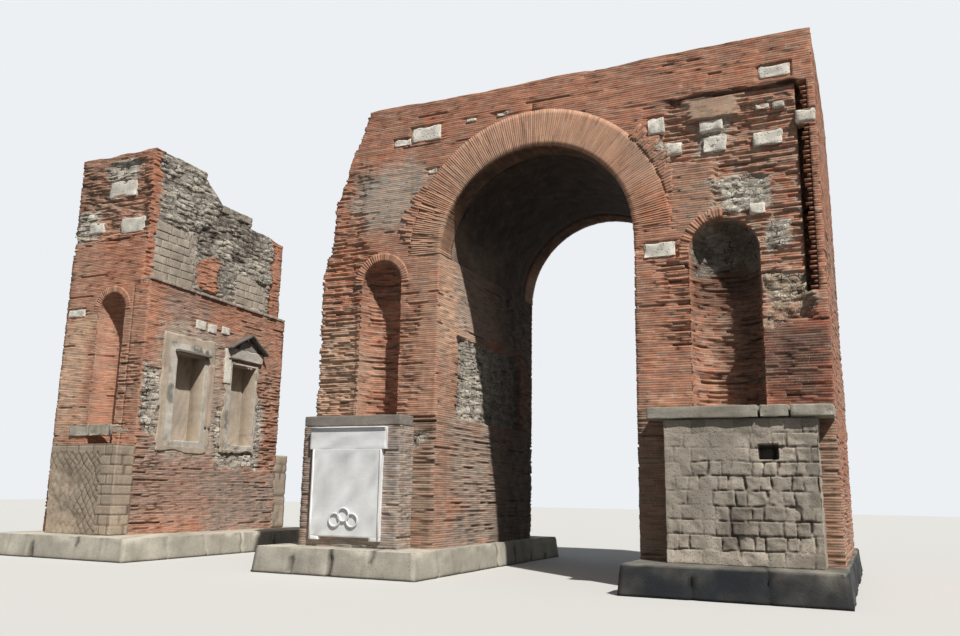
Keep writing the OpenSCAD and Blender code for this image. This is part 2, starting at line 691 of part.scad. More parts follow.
// The torn springing of the lost vault, between the brick edges and over the tufa patch
module left_torn_core() color(rubble) place() intersection() {
    rough_panel(front_edge_w - spare, depth - rear_edge_w + spare, ledge_z - ledge_fall - spare,
        left_pier_top + spare, -left_x1 + torn_t + spare, torn_t * 1.2 + spare, 26, 20, 1);
    side_profile(left_x1 - torn_t, left_x1 + 3 * torn_t) difference() {
        intersection() {
            over_ledge_profile();
            translate([front_edge_w, 0]) square([depth - front_edge_w - rear_edge_w, left_pier_top]);
        }
        translate([front_edge_w - spare, 0]) square([patch_w + spare, ledge_z + patch_h]);
        for (r = top_course_runs) translate([r[0], r[2]]) square([r[1] - r[0], left_pier_top]);
    }
}

// Squared tufa set into the torn face
module left_tufa_patch() color(tufa) place() side_profile(left_x1 - torn_t, left_x1 + 20)
    polygon([for (q = [[0, 0], [patch_w, 0], [patch_w, patch_h], [0, patch_h]])
        let (y = front_edge_w + q[0]) [y, q[1] > 0 ? ledge_z + q[1] : ledge_z - ledge_fall * y / depth]]);

// The brick corners at the front and the rear of the torn face
module left_brick_edges() color(brick) place() side_profile(left_x1 - torn_t, left_x1) intersection() {
    over_ledge_profile();
    union() {
        translate([0, break_z]) square([front_edge_w, left_pier_top]);
        translate([depth - rear_edge_w, break_z]) square([rear_edge_w, left_pier_top]);
    }
}

// Courses of small tufa blocks that still face the top of the passage side. Each run gives its front
// and rear end, its lowest bed, its top, how many courses and how many blocks in a course.
top_course_runs = [
    [0.17 * depth, left_step_points[1][0], left_pier_top - 0.166 * left_upper_h, left_pier_top, 4, 3],
    [left_step_points[3][0], left_step_points[4][0], left_pier_top - 0.273 * left_upper_h,
        left_step_points[4][1], 1, 4]];
module left_top_courses() color(tufa) place() for (r = top_course_runs)
    for (k = [0:r[4] - 1], i = [0:r[5] - 1]) let (w = (r[1] - r[0]) / r[5], h = (r[3] - r[2]) / r[4])
        block([left_x1 - torn_t, r[0] + i * w, r[2] + k * h],
            [left_x1 - torn_t + top_course_t - top_course_set * ((i + k) % 2),
                r[0] + (i + 1) * w - top_joint, r[2] + (k + 1) * h]);

right_plinth();
right_lower_pier();
right_pedestal();
right_pedestal_cap();
right_jamb_pier();
right_niche_pier();
right_corner_pier();
right_niche_ring();
right_haunch();
toothed_brick_strip();
right_stone_blocks();
right_passage_band();
middle_plinth();
middle_lower_pier();
middle_pedestal();
middle_pedestal_cap();
marble_tablet();
laurel_rings();
middle_niche_pier();
middle_niche_ring();
middle_haunch();
middle_stone_blocks();
middle_passage_band();
front_arch_ring();
rear_arch_ring();
barrel_vault();
attic_wall();
left_plinth();
left_lower_pier();
left_pedestal();
left_sill_slab();
left_niche_ring();
passage_lining();
lining_ledge();
first_shrine_frame();
second_shrine_frame();
shrine_pediment();
left_upper_pier();
left_torn_core();
left_tufa_patch();
left_brick_edges();
left_top_courses();
left_stone_blocks();
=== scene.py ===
"""A ruined triumphal arch of brick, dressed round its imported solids.

Every piece is a surface worked out with numpy: a wall is a net of courses carried round a pier, an arch
ring is a net of brick edges carried round the arch. Places are in metres from the archway's axis (x),
back from the front (y) and up from the ground (z); skin() moves them to the frame.
"""

import math

import bpy
import numpy as np
from mathutils import Matrix, Vector


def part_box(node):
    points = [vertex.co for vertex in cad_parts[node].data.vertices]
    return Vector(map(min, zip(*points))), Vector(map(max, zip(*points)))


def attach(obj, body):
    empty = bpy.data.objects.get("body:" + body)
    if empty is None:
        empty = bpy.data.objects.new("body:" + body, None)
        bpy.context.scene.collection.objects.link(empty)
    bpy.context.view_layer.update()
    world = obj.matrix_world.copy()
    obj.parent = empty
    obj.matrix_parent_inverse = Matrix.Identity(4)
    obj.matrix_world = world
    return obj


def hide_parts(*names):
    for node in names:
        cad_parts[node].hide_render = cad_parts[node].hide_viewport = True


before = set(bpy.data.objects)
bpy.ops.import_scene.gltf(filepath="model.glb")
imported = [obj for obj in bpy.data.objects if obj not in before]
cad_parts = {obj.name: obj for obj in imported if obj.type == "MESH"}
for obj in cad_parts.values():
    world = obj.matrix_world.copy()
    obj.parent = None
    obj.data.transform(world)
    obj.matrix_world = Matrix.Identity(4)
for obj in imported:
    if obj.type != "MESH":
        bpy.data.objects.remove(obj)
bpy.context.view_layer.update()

bl_info = {
    "name": "Ruined brick arch",
    "version": (1, 0, 0),
    "blender": (4, 5, 0),
    "location": "View3D > Sidebar > Ruined arch",
    "description": "Builds the masonry, stone and plaster of a ruined brick arch round its solids",
    "category": "Object",
}

# The frame's own measures


def low(node):
    """The low corner of a node's box."""
    return np.array(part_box(node)[0], float)


def high(node):
    """The high corner of a node's box."""
    return np.array(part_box(node)[1], float)


RING_LOW, RING_HIGH = low("front_arch_ring"), high("front_arch_ring")
AXIS = (RING_LOW[0] + RING_HIGH[0]) / 2
FRONT = RING_LOW[1]
ORIGIN = np.array([AXIS, FRONT, 0.0])
SPRING = RING_LOW[2]
RING_R = (RING_HIGH[0] - RING_LOW[0]) / 2
RING_DEEP = RING_HIGH[1] - FRONT
ARCH_R = low("right_lower_pier")[0] - AXIS
DEPTH = high("attic_wall")[1] - FRONT
PLINTH = low("right_lower_pier")[2]
SILL = low("right_niche_pier")[2]
ATTIC = low("attic_wall")[2]
TOP = high("attic_wall")[2]
RIGHT = high("right_haunch")[0] - AXIS
MIDDLE = low("middle_lower_pier")[0] - AXIS
LEFT = low("left_lower_pier")[0] - AXIS
LEFT_IN = high("left_lower_pier")[0] - AXIS
LINING = high("passage_lining")[0] - AXIS
LINING_TOP = high("passage_lining")[2]
LEFT_TOP = high("left_upper_pier")[2]
LEDGE = high("lining_ledge")[2]
BREAK = low("left_upper_pier")[2]
UPPER = LEFT_TOP - LEDGE
HAUNCH = ATTIC - SPRING

# Sizes that no box shows: the niches' rings, the shrines' recesses, the fall of the ledge to the rear, the
# bricks of the arch rings, and how far a haunch runs in behind its ring

NICHE_RING = 0.19
SHRINE_Y = (1.23, 3.5)
SHRINE_W, SHRINE_H, SHRINE_DEEP = 1.09, 2.43, 0.48
SHRINE_SILL = low("first_shrine_frame")[2] + 0.33
LEDGE_FALL = 0.12
RING_BRICK = 0.41
RING_LAP = 0.02

# How fine the nets are: the lines on each course and on each short brick, in shares of it, half a bed's
# share of a course, the columns round a niche, the step beside it and how far that reaches, the courses that
# the right pier's net runs on over the springing, and the closeness that makes two points one

COURSE_LINES = np.array([0.0, 0.2, 0.8])
FAN_LINES = np.array([0.0, 0.22, 0.78])
BED = 0.1
NICHE_COLUMNS = 23
NICHE_STEP, NICHE_MARGIN = 0.03, 0.1
SHOULDER = 3
WELDS_PER_METRE = 50000


def corners(node):
    """The two corners of a node's box, from the archway's axis."""
    return low(node) - ORIGIN, high(node) - ORIGIN


# Shared noise

HASH_FACTORS = (374761393, 668265263, 2246822519, 3266489917)
HASH_OFFSET, HASH_SCRAMBLE = 7919, 1274126177


def chance(*keys):
    """A number from 0 to 1 for each set of whole numbers: their sum, each times a large odd number, is
    scrambled by shifts and products in 32 bits."""
    n = 0
    for key, factor in zip(keys, HASH_FACTORS):
        n = n + (np.asarray(key).astype(np.int64) + HASH_OFFSET) * factor
    n = (n ^ (n >> 13)) & 0xFFFFFFFF
    n = (n * HASH_SCRAMBLE) & 0xFFFFFFFF
    return ((n ^ (n >> 16)) & 0xFFFFFF) / 0xFFFFFF


def waves(x, z, cell, seed=0, octaves=3):
    """Smooth noise from about -1 to 1: random values on a square net, joined by an S-shaped blend, and
    added up over nets of half the size and half the height."""
    total, strength = 0.0, 1.0
    for octave in range(octaves):
        a, b = x / cell + 31.7 * octave, z / cell - 17.3 * octave
        i, j = np.floor(a), np.floor(b)
        s, t = a - i, b - j
        s, t = s * s * (3 - 2 * s), t * t * (3 - 2 * t)
        k = seed * 97 + octave
        under = chance(i, j, k) * (1 - s) + chance(i + 1, j, k) * s
        over = chance(i, j + 1, k) * (1 - s) + chance(i + 1, j + 1, k) * s
        total = total + strength * (2 * (under * (1 - t) + over * t) - 1)
        cell, strength = cell / 2, strength / 2
    return total


def rubble(x, z, cell, seed=0):
    """Stones of one jittered point to each square of a net. Returns how far each place lies inside its
    stone, from 0 on a joint to about 1, and a random number for that stone."""
    a, b = x / cell, z / cell
    i, j = np.floor(a), np.floor(b)
    near, next_near, name = np.full(a.shape, 9.0), np.full(a.shape, 9.0), np.zeros(a.shape)
    for di in (-1, 0, 1):
        for dj in (-1, 0, 1):
            p, q = i + di, j + dj
            d = np.hypot(a - p - 0.15 - 0.7 * chance(p, q, seed),
                         b - q - 0.15 - 0.7 * chance(p, q, seed + 51))
            closer = d < near
            next_near = np.where(closer, near, np.minimum(next_near, d))
            name = np.where(closer, chance(p, q, seed + 77), name)
            near = np.where(closer, d, near)
    return np.clip((next_near - near) * 1.8, 0, 1), name


def blocks(x, z, height, length, seed=0):
    """Squared blocks in courses: how far each place lies from its block's edge, in metres, and a random
    number for that block. Every course is shifted at random, and a sine makes its blocks longer or shorter
    along it."""
    row = np.floor(z / height)
    long = length * (0.75 + 0.5 * chance(row, seed))
    place = x / long + 9 * chance(row, seed + 1)
    place = place + 0.2 * np.sin(2.4 * place + 6 * chance(row, seed + 4))
    part = place - np.floor(place)
    level = z / height - row
    edge = np.minimum(np.minimum(part, 1 - part) * long, np.minimum(level, 1 - level) * height)
    return edge, chance(row, np.floor(place), seed + 2)


def within(x, z, outline, soft=0.05, ragged=0.1, seed=1):
    """1 inside an outline and 0 outside it, over a soft and ragged edge: the distance to the nearest side,
    signed by an even-odd count of the sides that a level line crosses, plus noise. Two corners are a box."""
    shape = np.array(outline, float)
    if len(shape) == 2:
        (x0, z0), (x1, z1) = shape
        shape = np.array([(x0, z0), (x1, z0), (x1, z1), (x0, z1)])
    nearest, inside = np.full(np.shape(x), 99.0), np.zeros(np.shape(x), bool)
    for (ax, az), (bx, bz) in zip(shape, np.roll(shape, -1, axis=0)):
        ex, ez = bx - ax, bz - az
        t = np.clip(((x - ax) * ex + (z - az) * ez) / (ex * ex + ez * ez), 0, 1)
        nearest = np.minimum(nearest, np.hypot(x - ax - t * ex, z - az - t * ez))
        if ez:
            inside ^= ((az > z) != (bz > z)) & (x < ax + (z - az) * ex / ez)
    edge = np.where(inside, nearest, -nearest)
    if ragged:
        edge = edge + ragged * waves(x, z, 0.45, seed)
    return np.clip(edge / (2 * soft) + 0.5, 0, 1)


def ramp(value, start, end):
    """0 at start, 1 at end, S-shaped between them."""
    t = np.clip((value - start) / (end - start), 0, 1)
    return t * t * (3 - 2 * t)


def blend(a, b, share):
    """One colour moved towards another by a share at each place."""
    return a + (b - a) * np.asarray(share)[..., None]


def even(x, tone=1.0):
    """One shade, or one colour, all over a net."""
    return tone * np.ones(x.shape + (3,))


# Nets to meshes


def skin(name, nets, replaced, material):
    """Joins nets of points into one mesh. Each net is (points, uv, tone, marks), rows by columns; its faces
    turn the way that goes from columns to rows. Points closer than a fiftieth of a millimetre become one, and
    a face that loses a side this way is a triangle or is dropped."""
    points, uvs, tones, marks, quads, start = [], [], [], [], [], 0
    for net, uv, tone, mark in nets:
        down, across = net.shape[:2]
        i = (np.arange(down - 1)[:, None] * across + np.arange(across - 1)).ravel() + start
        quads.append(np.stack([i, i + 1, i + across + 1, i + across], axis=1))
        points.append(net.reshape(-1, 3))
        uvs.append(uv.reshape(-1, 2))
        tones.append(np.broadcast_to(tone, (down, across, 3)).reshape(-1, 3))
        marks.append(np.broadcast_to(mark, (down, across, 4)).reshape(-1, 4))
        start += down * across
    points, uvs, quads = np.concatenate(points), np.concatenate(uvs), np.concatenate(quads)
    tones, marks = np.concatenate(tones), np.concatenate(marks)
    snapped = np.round(points * WELDS_PER_METRE).astype(np.int64)
    _, first, same = np.unique(snapped, axis=0, return_index=True, return_inverse=True)
    welded = same.reshape(-1)[quads]
    kept = welded != np.roll(welded, 1, axis=1)
    sides = kept.sum(axis=1)
    crossed = (welded[:, 0] == welded[:, 2]) | (welded[:, 1] == welded[:, 3])
    whole, three = (sides == 4) & ~crossed, (sides == 3) & ~crossed
    ends = np.concatenate([quads[whole].ravel(), quads[three][kept[three]].ravel()])
    totals = np.concatenate([np.full(whole.sum(), 4), np.full(three.sum(), 3)])
    mesh = bpy.data.meshes.new(name)
    mesh.vertices.add(len(first))
    mesh.vertices.foreach_set("co", (points[first] + ORIGIN).astype(np.float32).ravel())
    mesh.loops.add(len(ends))
    mesh.loops.foreach_set("vertex_index", same.reshape(-1)[ends].astype(np.int32))
    mesh.polygons.add(len(totals))
    mesh.polygons.foreach_set("loop_start", (np.cumsum(totals) - totals).astype(np.int32))
    mesh.update(calc_edges=True)
    mesh.uv_layers.new(name="wall").data.foreach_set("uv", uvs[ends].astype(np.float32).ravel())
    for label, values in (("tone", np.hstack([tones, np.ones((len(tones), 1))])), ("marks", marks)):
        layer = mesh.attributes.new(label, "FLOAT_COLOR", "POINT")
        layer.data.foreach_set("color", values[first].astype(np.float32).ravel())
    obj = bpy.data.objects.new(name, mesh)
    bpy.context.scene.collection.objects.link(obj)
    obj.data.materials.append(material)
    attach(obj, "root")
    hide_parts(*replaced)
    return obj


def turned(net):
    """The same net, facing the other way."""
    return tuple(a[:, ::-1] if np.ndim(a) == 3 else a for a in net)


def at_the_rear(nets):
    """The same nets, mirrored to the rear front."""
    there = []
    for points, uv, tone, marks in nets:
        points = points.copy()
        points[..., 1] = DEPTH - points[..., 1]
        there.append(turned((points, uv, tone, marks)))
    return there


def marks_of(depth, core, soot, lime):
    """The four marks of each place as one array, each from 0 to 1."""
    return np.clip(np.stack(np.broadcast_arrays(depth, core, soot, lime), axis=-1), 0, 1)


# Colours and sizes that a user would change


def seen(r, g, b):
    """A colour given as it shows on a screen, 0 to 255, as the plain numbers that light works with."""
    v = np.array([r, g, b]) / 255
    return tuple(float(c) for c in np.where(v < 0.04045, v / 12.92, ((v + 0.055) / 1.055) ** 2.4))


def colour(label, text, *value):
    """A colour that the user can change, with its default as it shows on a screen."""
    return bpy.props.FloatVectorProperty(name=label, description=text, subtype="COLOR", size=3, min=0, max=1,
                                         default=seen(*value))


class ArchColours(bpy.types.PropertyGroup):
    """Colours of the masonry, as they show in even light."""

    red: colour("Red brick", "Most of the brickwork", 186, 112, 82)
    orange: colour("Orange brick", "Brick laid bare lately", 212, 120, 78)
    dark: colour("Dark red brick", "Sheltered and damp brick", 100, 56, 43)
    grey: colour("Grey-brown brick", "Brick under lichen", 182, 168, 156)
    pink: colour("Pink brick", "The rings and the corners of the passage", 206, 152, 122)
    brown: colour("Brown brick", "Repaired brick over the right niche", 168, 126, 104)
    pale: colour("Pale brick", "Brick in full sun beside the niches", 236, 191, 159)
    mauve: colour("Mauve brick", "Damp brick low in the left passage", 146, 130, 126)
    mortar: colour("Mortar", "Lime mortar between the bricks", 206, 194, 176)
    rubble: colour("Rubble", "The concrete core where the brick is lost", 196, 188, 174)
    tufa: colour("Tufa", "Brown-grey blocks of the pedestals", 176, 166, 153)
    limestone: colour("Limestone", "Plinths and single blocks", 208, 202, 187)
    white: colour("White stone", "Single blocks left in the fronts", 253, 248, 236)
    marble: colour("Marble", "The tablet", 251, 253, 255)
    plaster: colour("Plaster", "The frames of the shrines", 200, 194, 184)
    cement: colour("Grey band", "The cap of the middle pedestal", 148, 143, 136)
    # This colour also paints shade: chase, right niche, passage, shrine recesses, ring and vault soffits.
    soot: colour("Soot and shade", "The sooty soffit of the vault", 62, 50, 42)


def length(label, text, value, **limits):
    """A length that the user can change, in metres."""
    return bpy.props.FloatProperty(name=label, description=text, default=value, unit="LENGTH", **limits)


class ArchSizes(bpy.types.PropertyGroup):
    """Sizes of the masonry that the frame leaves open."""

    course: length("Course", "Height of a brick course with its bed", 0.048, min=0.03, max=0.1)
    brick: length("Brick", "Length of a brick with its joint", 0.26, min=0.1, max=0.6)
    joint: length("Joint depth", "How far the mortar lies behind sound brick", 0.005, min=0, max=0.03)
    loss: length("Brick loss", "How far worn bricks have weathered back", 0.075, min=0, max=0.2)
    step: length("Net", "Distance between the columns of a wall's net", 0.062, min=0.03, max=0.3)


def tint(name):
    """One of the masonry's colours."""
    return np.array(getattr(bpy.context.scene.arch_colours, name))


def size(name):
    """One of the masonry's sizes."""
    return getattr(bpy.context.scene.arch_sizes, name)


# Where the walls are worn, bared, coloured or painted with shade: outlines in x or y, and z

TORN_RIGHT = [(3.05, 9.86), (5.61, 9.84), (5.61, 5.05), (5.0, 5.05), (4.85, 5.35), (4.04, 5.35), (4.04, 7.16),
              (3.87, 7.25), (3.9, 7.86), (3.96, 8.39), (2.91, 8.53), (2.84, 8.75), (2.86, 9.12), (2.98, 9.6)]
TORN_LEFT = [(-13.19, 10.32), (-12.99, 10.86), (-11.75, 10.88), (-11.63, 10.32), (-11.43, 10.12),
             (-11.43, 9.27), (-11.53, 8.7), (-12.56, 8.7), (-13.21, 8.66), (-13.93, 8.72), (-13.93, 9.32),
             (-13.46, 9.56)]
CHASE = [(5.525, 5.6), (5.755, 9.8)]
CHASE_SIDES = [CHASE[0][0], CHASE[1][0]]
WORN_MIDDLE = [(-5.6, 3.4), (-4.42, 3.4), (-4.36, 5.07), (-4.52, 6.36), (-4.55, 7.1), (-4.49, 7.9),
               (-4.32, 8.73), (-4.52, 9.38), (-5.17, 9.45), (-5.6, 7.1)]
SMOOTH_PATCH = [(3.46, 9.37), (4.41, 9.79)]
FRONT_RUBBLE = [[(3.86, 7.25), (4.9, 8.0)], [(4.86, 6.45), (5.45, 7.14)], [(4.83, 5.0), (5.6, 5.95)],
                [(2.9, 8.62), (3.35, 8.95)], [(3.6, 8.55), (4.2, 9.3)],
                [(-13.2, 10.3), (-11.9, 10.85)], [(-13.95, 8.7), (-13.3, 9.5)]]
FRONT_TONES = [
    ([(-5.0, 9.45), (-4.7, 8.3), (-3.6, 7.75), (-2.2, 7.9), (-2.6, 9.45)], "grey", 1.0),
    ([(-4.9, 9.35), (-3.2, 9.9)], "orange", 0.6),
    ([(-2.85, 3.2), (-2.2, 7.3)], "pink", 0.55),
    ([(2.2, 3.2), (2.75, 7.2)], "pink", 0.3),
    ([(3.0, 7.1), (3.95, 8.5)], "brown", 0.9),
    ([(4.7, 3.3), (5.95, 5.1)], "dark", 1.0),
    ([(2.2, 6.0), (3.1, 7.9)], "red", 0.5),
    ([(-5.6, 5.9), (-4.3, 7.4)], "orange", 0.75),
    ([(-5.6, 3.4), (-4.3, 5.8)], "pale", 0.75),
    ([(2.6, 4.3), (3.4, 6.3)], "orange", 0.5),
    ([(-14.2, 3.0), (-13.0, 9.0)], "pink", 0.45), ([(-14.2, 3.3), (-13.1, 6.4)], "pale", 1.0),
    ([(-13.1, 3.3), (-11.2, 7.0)], "pink", 0.45),
    ([(-13.0, 6.9), (-11.3, 9.2)], "orange", 0.5),
    ([(-14.2, 9.4), (-12.8, 11.2)], "brown", 0.7),
    ([(-2.6, 10.2), (5.9, 10.45)], "orange", 0.45)]
FRONT_WORN = [
    ([(-5.6, 3.35), (-4.25, 7.6)], 1.0), ([(-3.3, 3.4), (-2.8, 6.4)], 0.7), ([(2.7, 4.6), (3.5, 6.4)], 0.9),
    ([(-5.3, 7.6), (-4.2, 9.3)], 0.6), ([(4.7, 3.4), (5.75, 5.0)], 0.35), ([(-2.9, 7.1), (-2.4, 8.4)], 0.4),
    ([(-14.0, 8.6), (-11.3, 10.9)], 0.9), ([(-12.0, 3.2), (-11.3, 5.5)], 0.6),
    ([(2.4, 7.0), (3.1, 7.9)], 0.35)]
NICHE_RUBBLE = [(3.2, 6.3), (4.9, 7.3)]
BROWN_RUBBLE = [(4.7, 4.8), (5.7, 6.2)]
# A painted shadow along the top edge of the torn area on the right.
CHASE_SHADE = [(2.98, 9.8), (5.56, 9.87)]
DAMP = [(4.75, 3.3), (5.95, 5.2)]
OPEN_TUFA = [(3.5, 0.9), (5.7, 2.5)]
LOST_TUFA = [(4.576, 2.409), (4.916, 2.669)]
WORN_DIAGONAL = [(-13.6, 0.4), (-12.4, 2.2)]
MIDDLE_PEDESTAL_TONES = [([(-5.4, 0.4), (-4.9, 3.2)], "orange", 0.35)]
WORN_RING = [([(-3.2, 7.1), (-2.4, 8.6)], 0.6, 0.15, 0.2), ([(2.3, 7.1), (3.2, 7.9)], 0.4, 0.15, 0.2)]
ORANGE_RING = [(2.3, 7.3), (3.2, 8.2)]
BAND = [(1.12, SILL + 0.02), (DEPTH - 1.02, high("middle_passage_band")[2] - 0.02)]
PASSAGE_TONES = [
    ([(-0.2, 3.2), (1.0, 7.3)], "pink", 0.6), ([(0.1, 4.9), (2.2, 7.3)], "pale", 0.8),
    ([(-0.2, 0.4), (0.8, 3.3)], "brown", 0.6),
    ([(0.9, 0.4), (6.0, 3.45)], "grey", 0.8), ([(0.6, 0.5), (2.2, 1.3)], "mauve", 0.7),
    ([(0.5, 1.25), (1.7, 1.55)], "orange", 0.8), ([(1.0, 5.4), (6.0, 7.2)], "grey", 0.75)]
WORN_PASSAGE = [(0.9, 0.3), (6.2, 3.4)]
LINING_TONES = [
    ([(-0.3, 3.0), (0.7, 7.5)], "orange", 0.55), ([(0.6, 5.9), (2.6, 7.4)], "mauve", 0.55),
    ([(2.6, 6.4), (4.0, 7.4)], "orange", 0.5), ([(0.0, 0.5), (4.0, 1.1)], "orange", 0.6),
    ([(2.9, 0.5), (5.9, 2.3)], "mauve", 0.85), ([(-0.2, 0.9), (3.6, 3.1)], "mauve", 0.5),
    ([(4.6, 2.4), (5.95, 6.4)], "red", 0.5), ([(0.5, 2.6), (3.1, 6.2)], "plaster", 0.6)]
LINING_RUBBLE = [[(3.1, 2.35), (5.0, 3.05)], [(4.6, 3.0), (5.1, 4.6)], [(0.15, 3.2), (0.7, 5.0)],
                 [(3.0, 3.1), (3.35, 4.1)]]
WORN_LINING = [([(4.5, 2.3), (5.9, 5.2)], 0.5, 0.2, 0.2), ([(0, 0.5), (1.2, 4)], 0.3, 0.05, 0.1)]
LINING_LIME = [([(0.45, 2.6), (3.2, 6.25)], 1.3, 0.08, 0.12), ([(3.2, 2.5), (5.2, 6.1)], 0.6, 0.15, 0.3)]
TUFA_PATCHES = [[(0.3, 7.42), (1.95, 9.12)], [(3.7, 7.42), (5.2, 8.3)]]
SHRINE_STONES = [(3.14, 4.82, 3.44, 5.9), (1.84, 6.24, 2.26, 6.53), (2.34, 6.22, 2.72, 6.5),
                 (2.92, 6.28, 3.28, 6.53)]
BRICK_PATCHES = [[(-0.1, 7.1), (0.3, 11.2)], [(5.36, 7.1), (6.0, 11.0)], [(2.0, 7.5), (2.85, 8.5)]]

# How far the torn and worn places lie behind the wall: both torn fronts, the rise of the right one towards
# its top, the chase, the middle pier's broken edge, the smooth patch with the stones' seats, a lost run of
# bricks, bared core and the lost block of tufa

RIGHT_DEEP, LEFT_DEEP, RIGHT_RISE, CHASE_DEEP, EDGE_DEEP = 0.14, 0.07, 0.09, 0.42, 0.04
SEAT_DEEP, RUN_DEEP, CORE_DEEP, LOST_DEEP = 0.045, 0.045, 0.05, 0.25

# Brickwork and what shows through it


def bond(u, z):
    """Which course each place lies in, and how many bricks along it lies: every course starts at random."""
    row = np.floor((z - SPRING) / size("course") + 1e-6)
    return row, u / size("brick") + 5 * chance(row, 17)


def to_brick_ends(x, y, u, z):
    """Moves the columns on both sides of each brick's end close up to it along their row, so that a brick
    that has weathered back ends sharply. The first and the last column stay, and so do close pairs."""
    number = bond(u, z)[1]
    off = ((np.round(number) - number) * size("brick"))[:, 1:-1]
    back, ahead = u[:, 1:-1] - u[:, :-2], u[:, 2:] - u[:, 1:-1]
    free = (np.minimum(back, ahead) > 0.01) & (np.maximum(back, ahead) < 0.12)
    move = np.where(free & (off > 0) & (off <= ahead), off - 0.003, 0)
    move = np.where(free & (off <= 0) & (off >= -back), off + 0.003, move)
    share = np.abs(move) / np.where(free, np.where(move > 0, ahead, back), 1)
    moved = []
    for a in (x, y, u):
        a = np.array(a, float)
        a[:, 1:-1] += share * np.where(move > 0, a[:, 2:] - a[:, 1:-1], a[:, :-2] - a[:, 1:-1])
        moved.append(a)
    return moved


def brick_face(u, x, z, tone, worn, core, torn, seed=0):
    """The relief of brickwork and its marks: mortar beds lie back between courses, worn bricks go back by
    a random share each and in runs of a course, now and then a run is gone, and bared core is stones of
    random size. Returns the distance out of the wall, the tone and how deep in a hollow it lies."""
    level = (z - SPRING) / size("course")
    bed = np.abs(level - np.round(level)) < BED
    row, number = bond(u, z)
    brick = np.floor(number)
    run = np.floor(brick / 4 + chance(row, seed + 3))
    lost = chance(row, brick, seed) ** 2 * 0.65 + chance(row, run, seed + 5) ** 2 * 0.6
    gone = (chance(row, run, seed + 9) > 0.985 - 0.08 * worn) & (chance(row, brick, seed + 2) > 0.3)
    swell = waves(x, z, 0.7, seed + 11)
    relief = -worn * size("loss") * (lost + 0.35 * swell) - RUN_DEEP * gone * (0.35 + worn)
    relief = relief + 0.006 * (chance(row, brick, seed + 6) - 0.5) + 0.006 * waves(x, z, 1.3, seed + 12)
    relief = relief - np.where(bed, size("joint") * (1 + worn), 0)
    stone, name = rubble(x + 0.1 * waves(x, z, 0.6, seed + 4, 1), z, 0.2, seed)
    bulge = 0.05 * np.sqrt(stone) * (0.4 + 0.8 * name) + 0.045 * waves(x, z, 0.4, seed + 8)
    relief = relief * (1 - core) + core * (bulge - CORE_DEEP) - torn
    luck = chance(row, brick, seed + 21)
    tone = tone * (0.94 + 0.12 * waves(x, z, 1.1, seed + 13) + 0.34 * (luck - 0.5))[..., None]
    tone = blend(tone, tint("orange"), 0.3 * (luck > 0.9))
    tone = blend(tone, tint("grey") * 0.8, 0.3 * (luck < 0.07))
    tone = blend(tone, tint("rubble") * (0.75 + 0.5 * name)[..., None], core)
    # Painted shade: worn bricks and lost runs are marked darker the further back they lie.
    hollow = np.clip(-(relief + torn) / 0.1 + 0.4 * gone, 0, 1) * 0.75
    hollow = hollow * (1 - core) + core * 0.5 * (1 - ramp(stone, 0.05, 0.35))
    return relief, np.clip(tone, 0.01, 0.95), hollow


def toned(base, zones, x, z, seed):
    """A base tone with softly edged zones of others: outline, name and strength for each."""
    tone = even(x, tint(base))
    for k, (outline, name, strength) in enumerate(zones):
        tone = blend(tone, tint(name), strength * within(x, z, outline, 0.25, 0.3, seed + k))
    return tone


def strongest(outlines, x, z, soft, ragged, seed):
    """How far each place lies inside any of the outlines."""
    most = np.zeros(x.shape)
    for k, outline in enumerate(outlines):
        most = np.maximum(most, within(x, z, outline, soft, ragged, seed + k))
    return most


def raised(value, zones, x, z):
    """A value raised by each zone's strength inside its outline: outline, strength, softness and
    raggedness."""
    for outline, strength, soft, ragged in zones:
        value = value + strength * within(x, z, outline, soft, ragged)
    return value


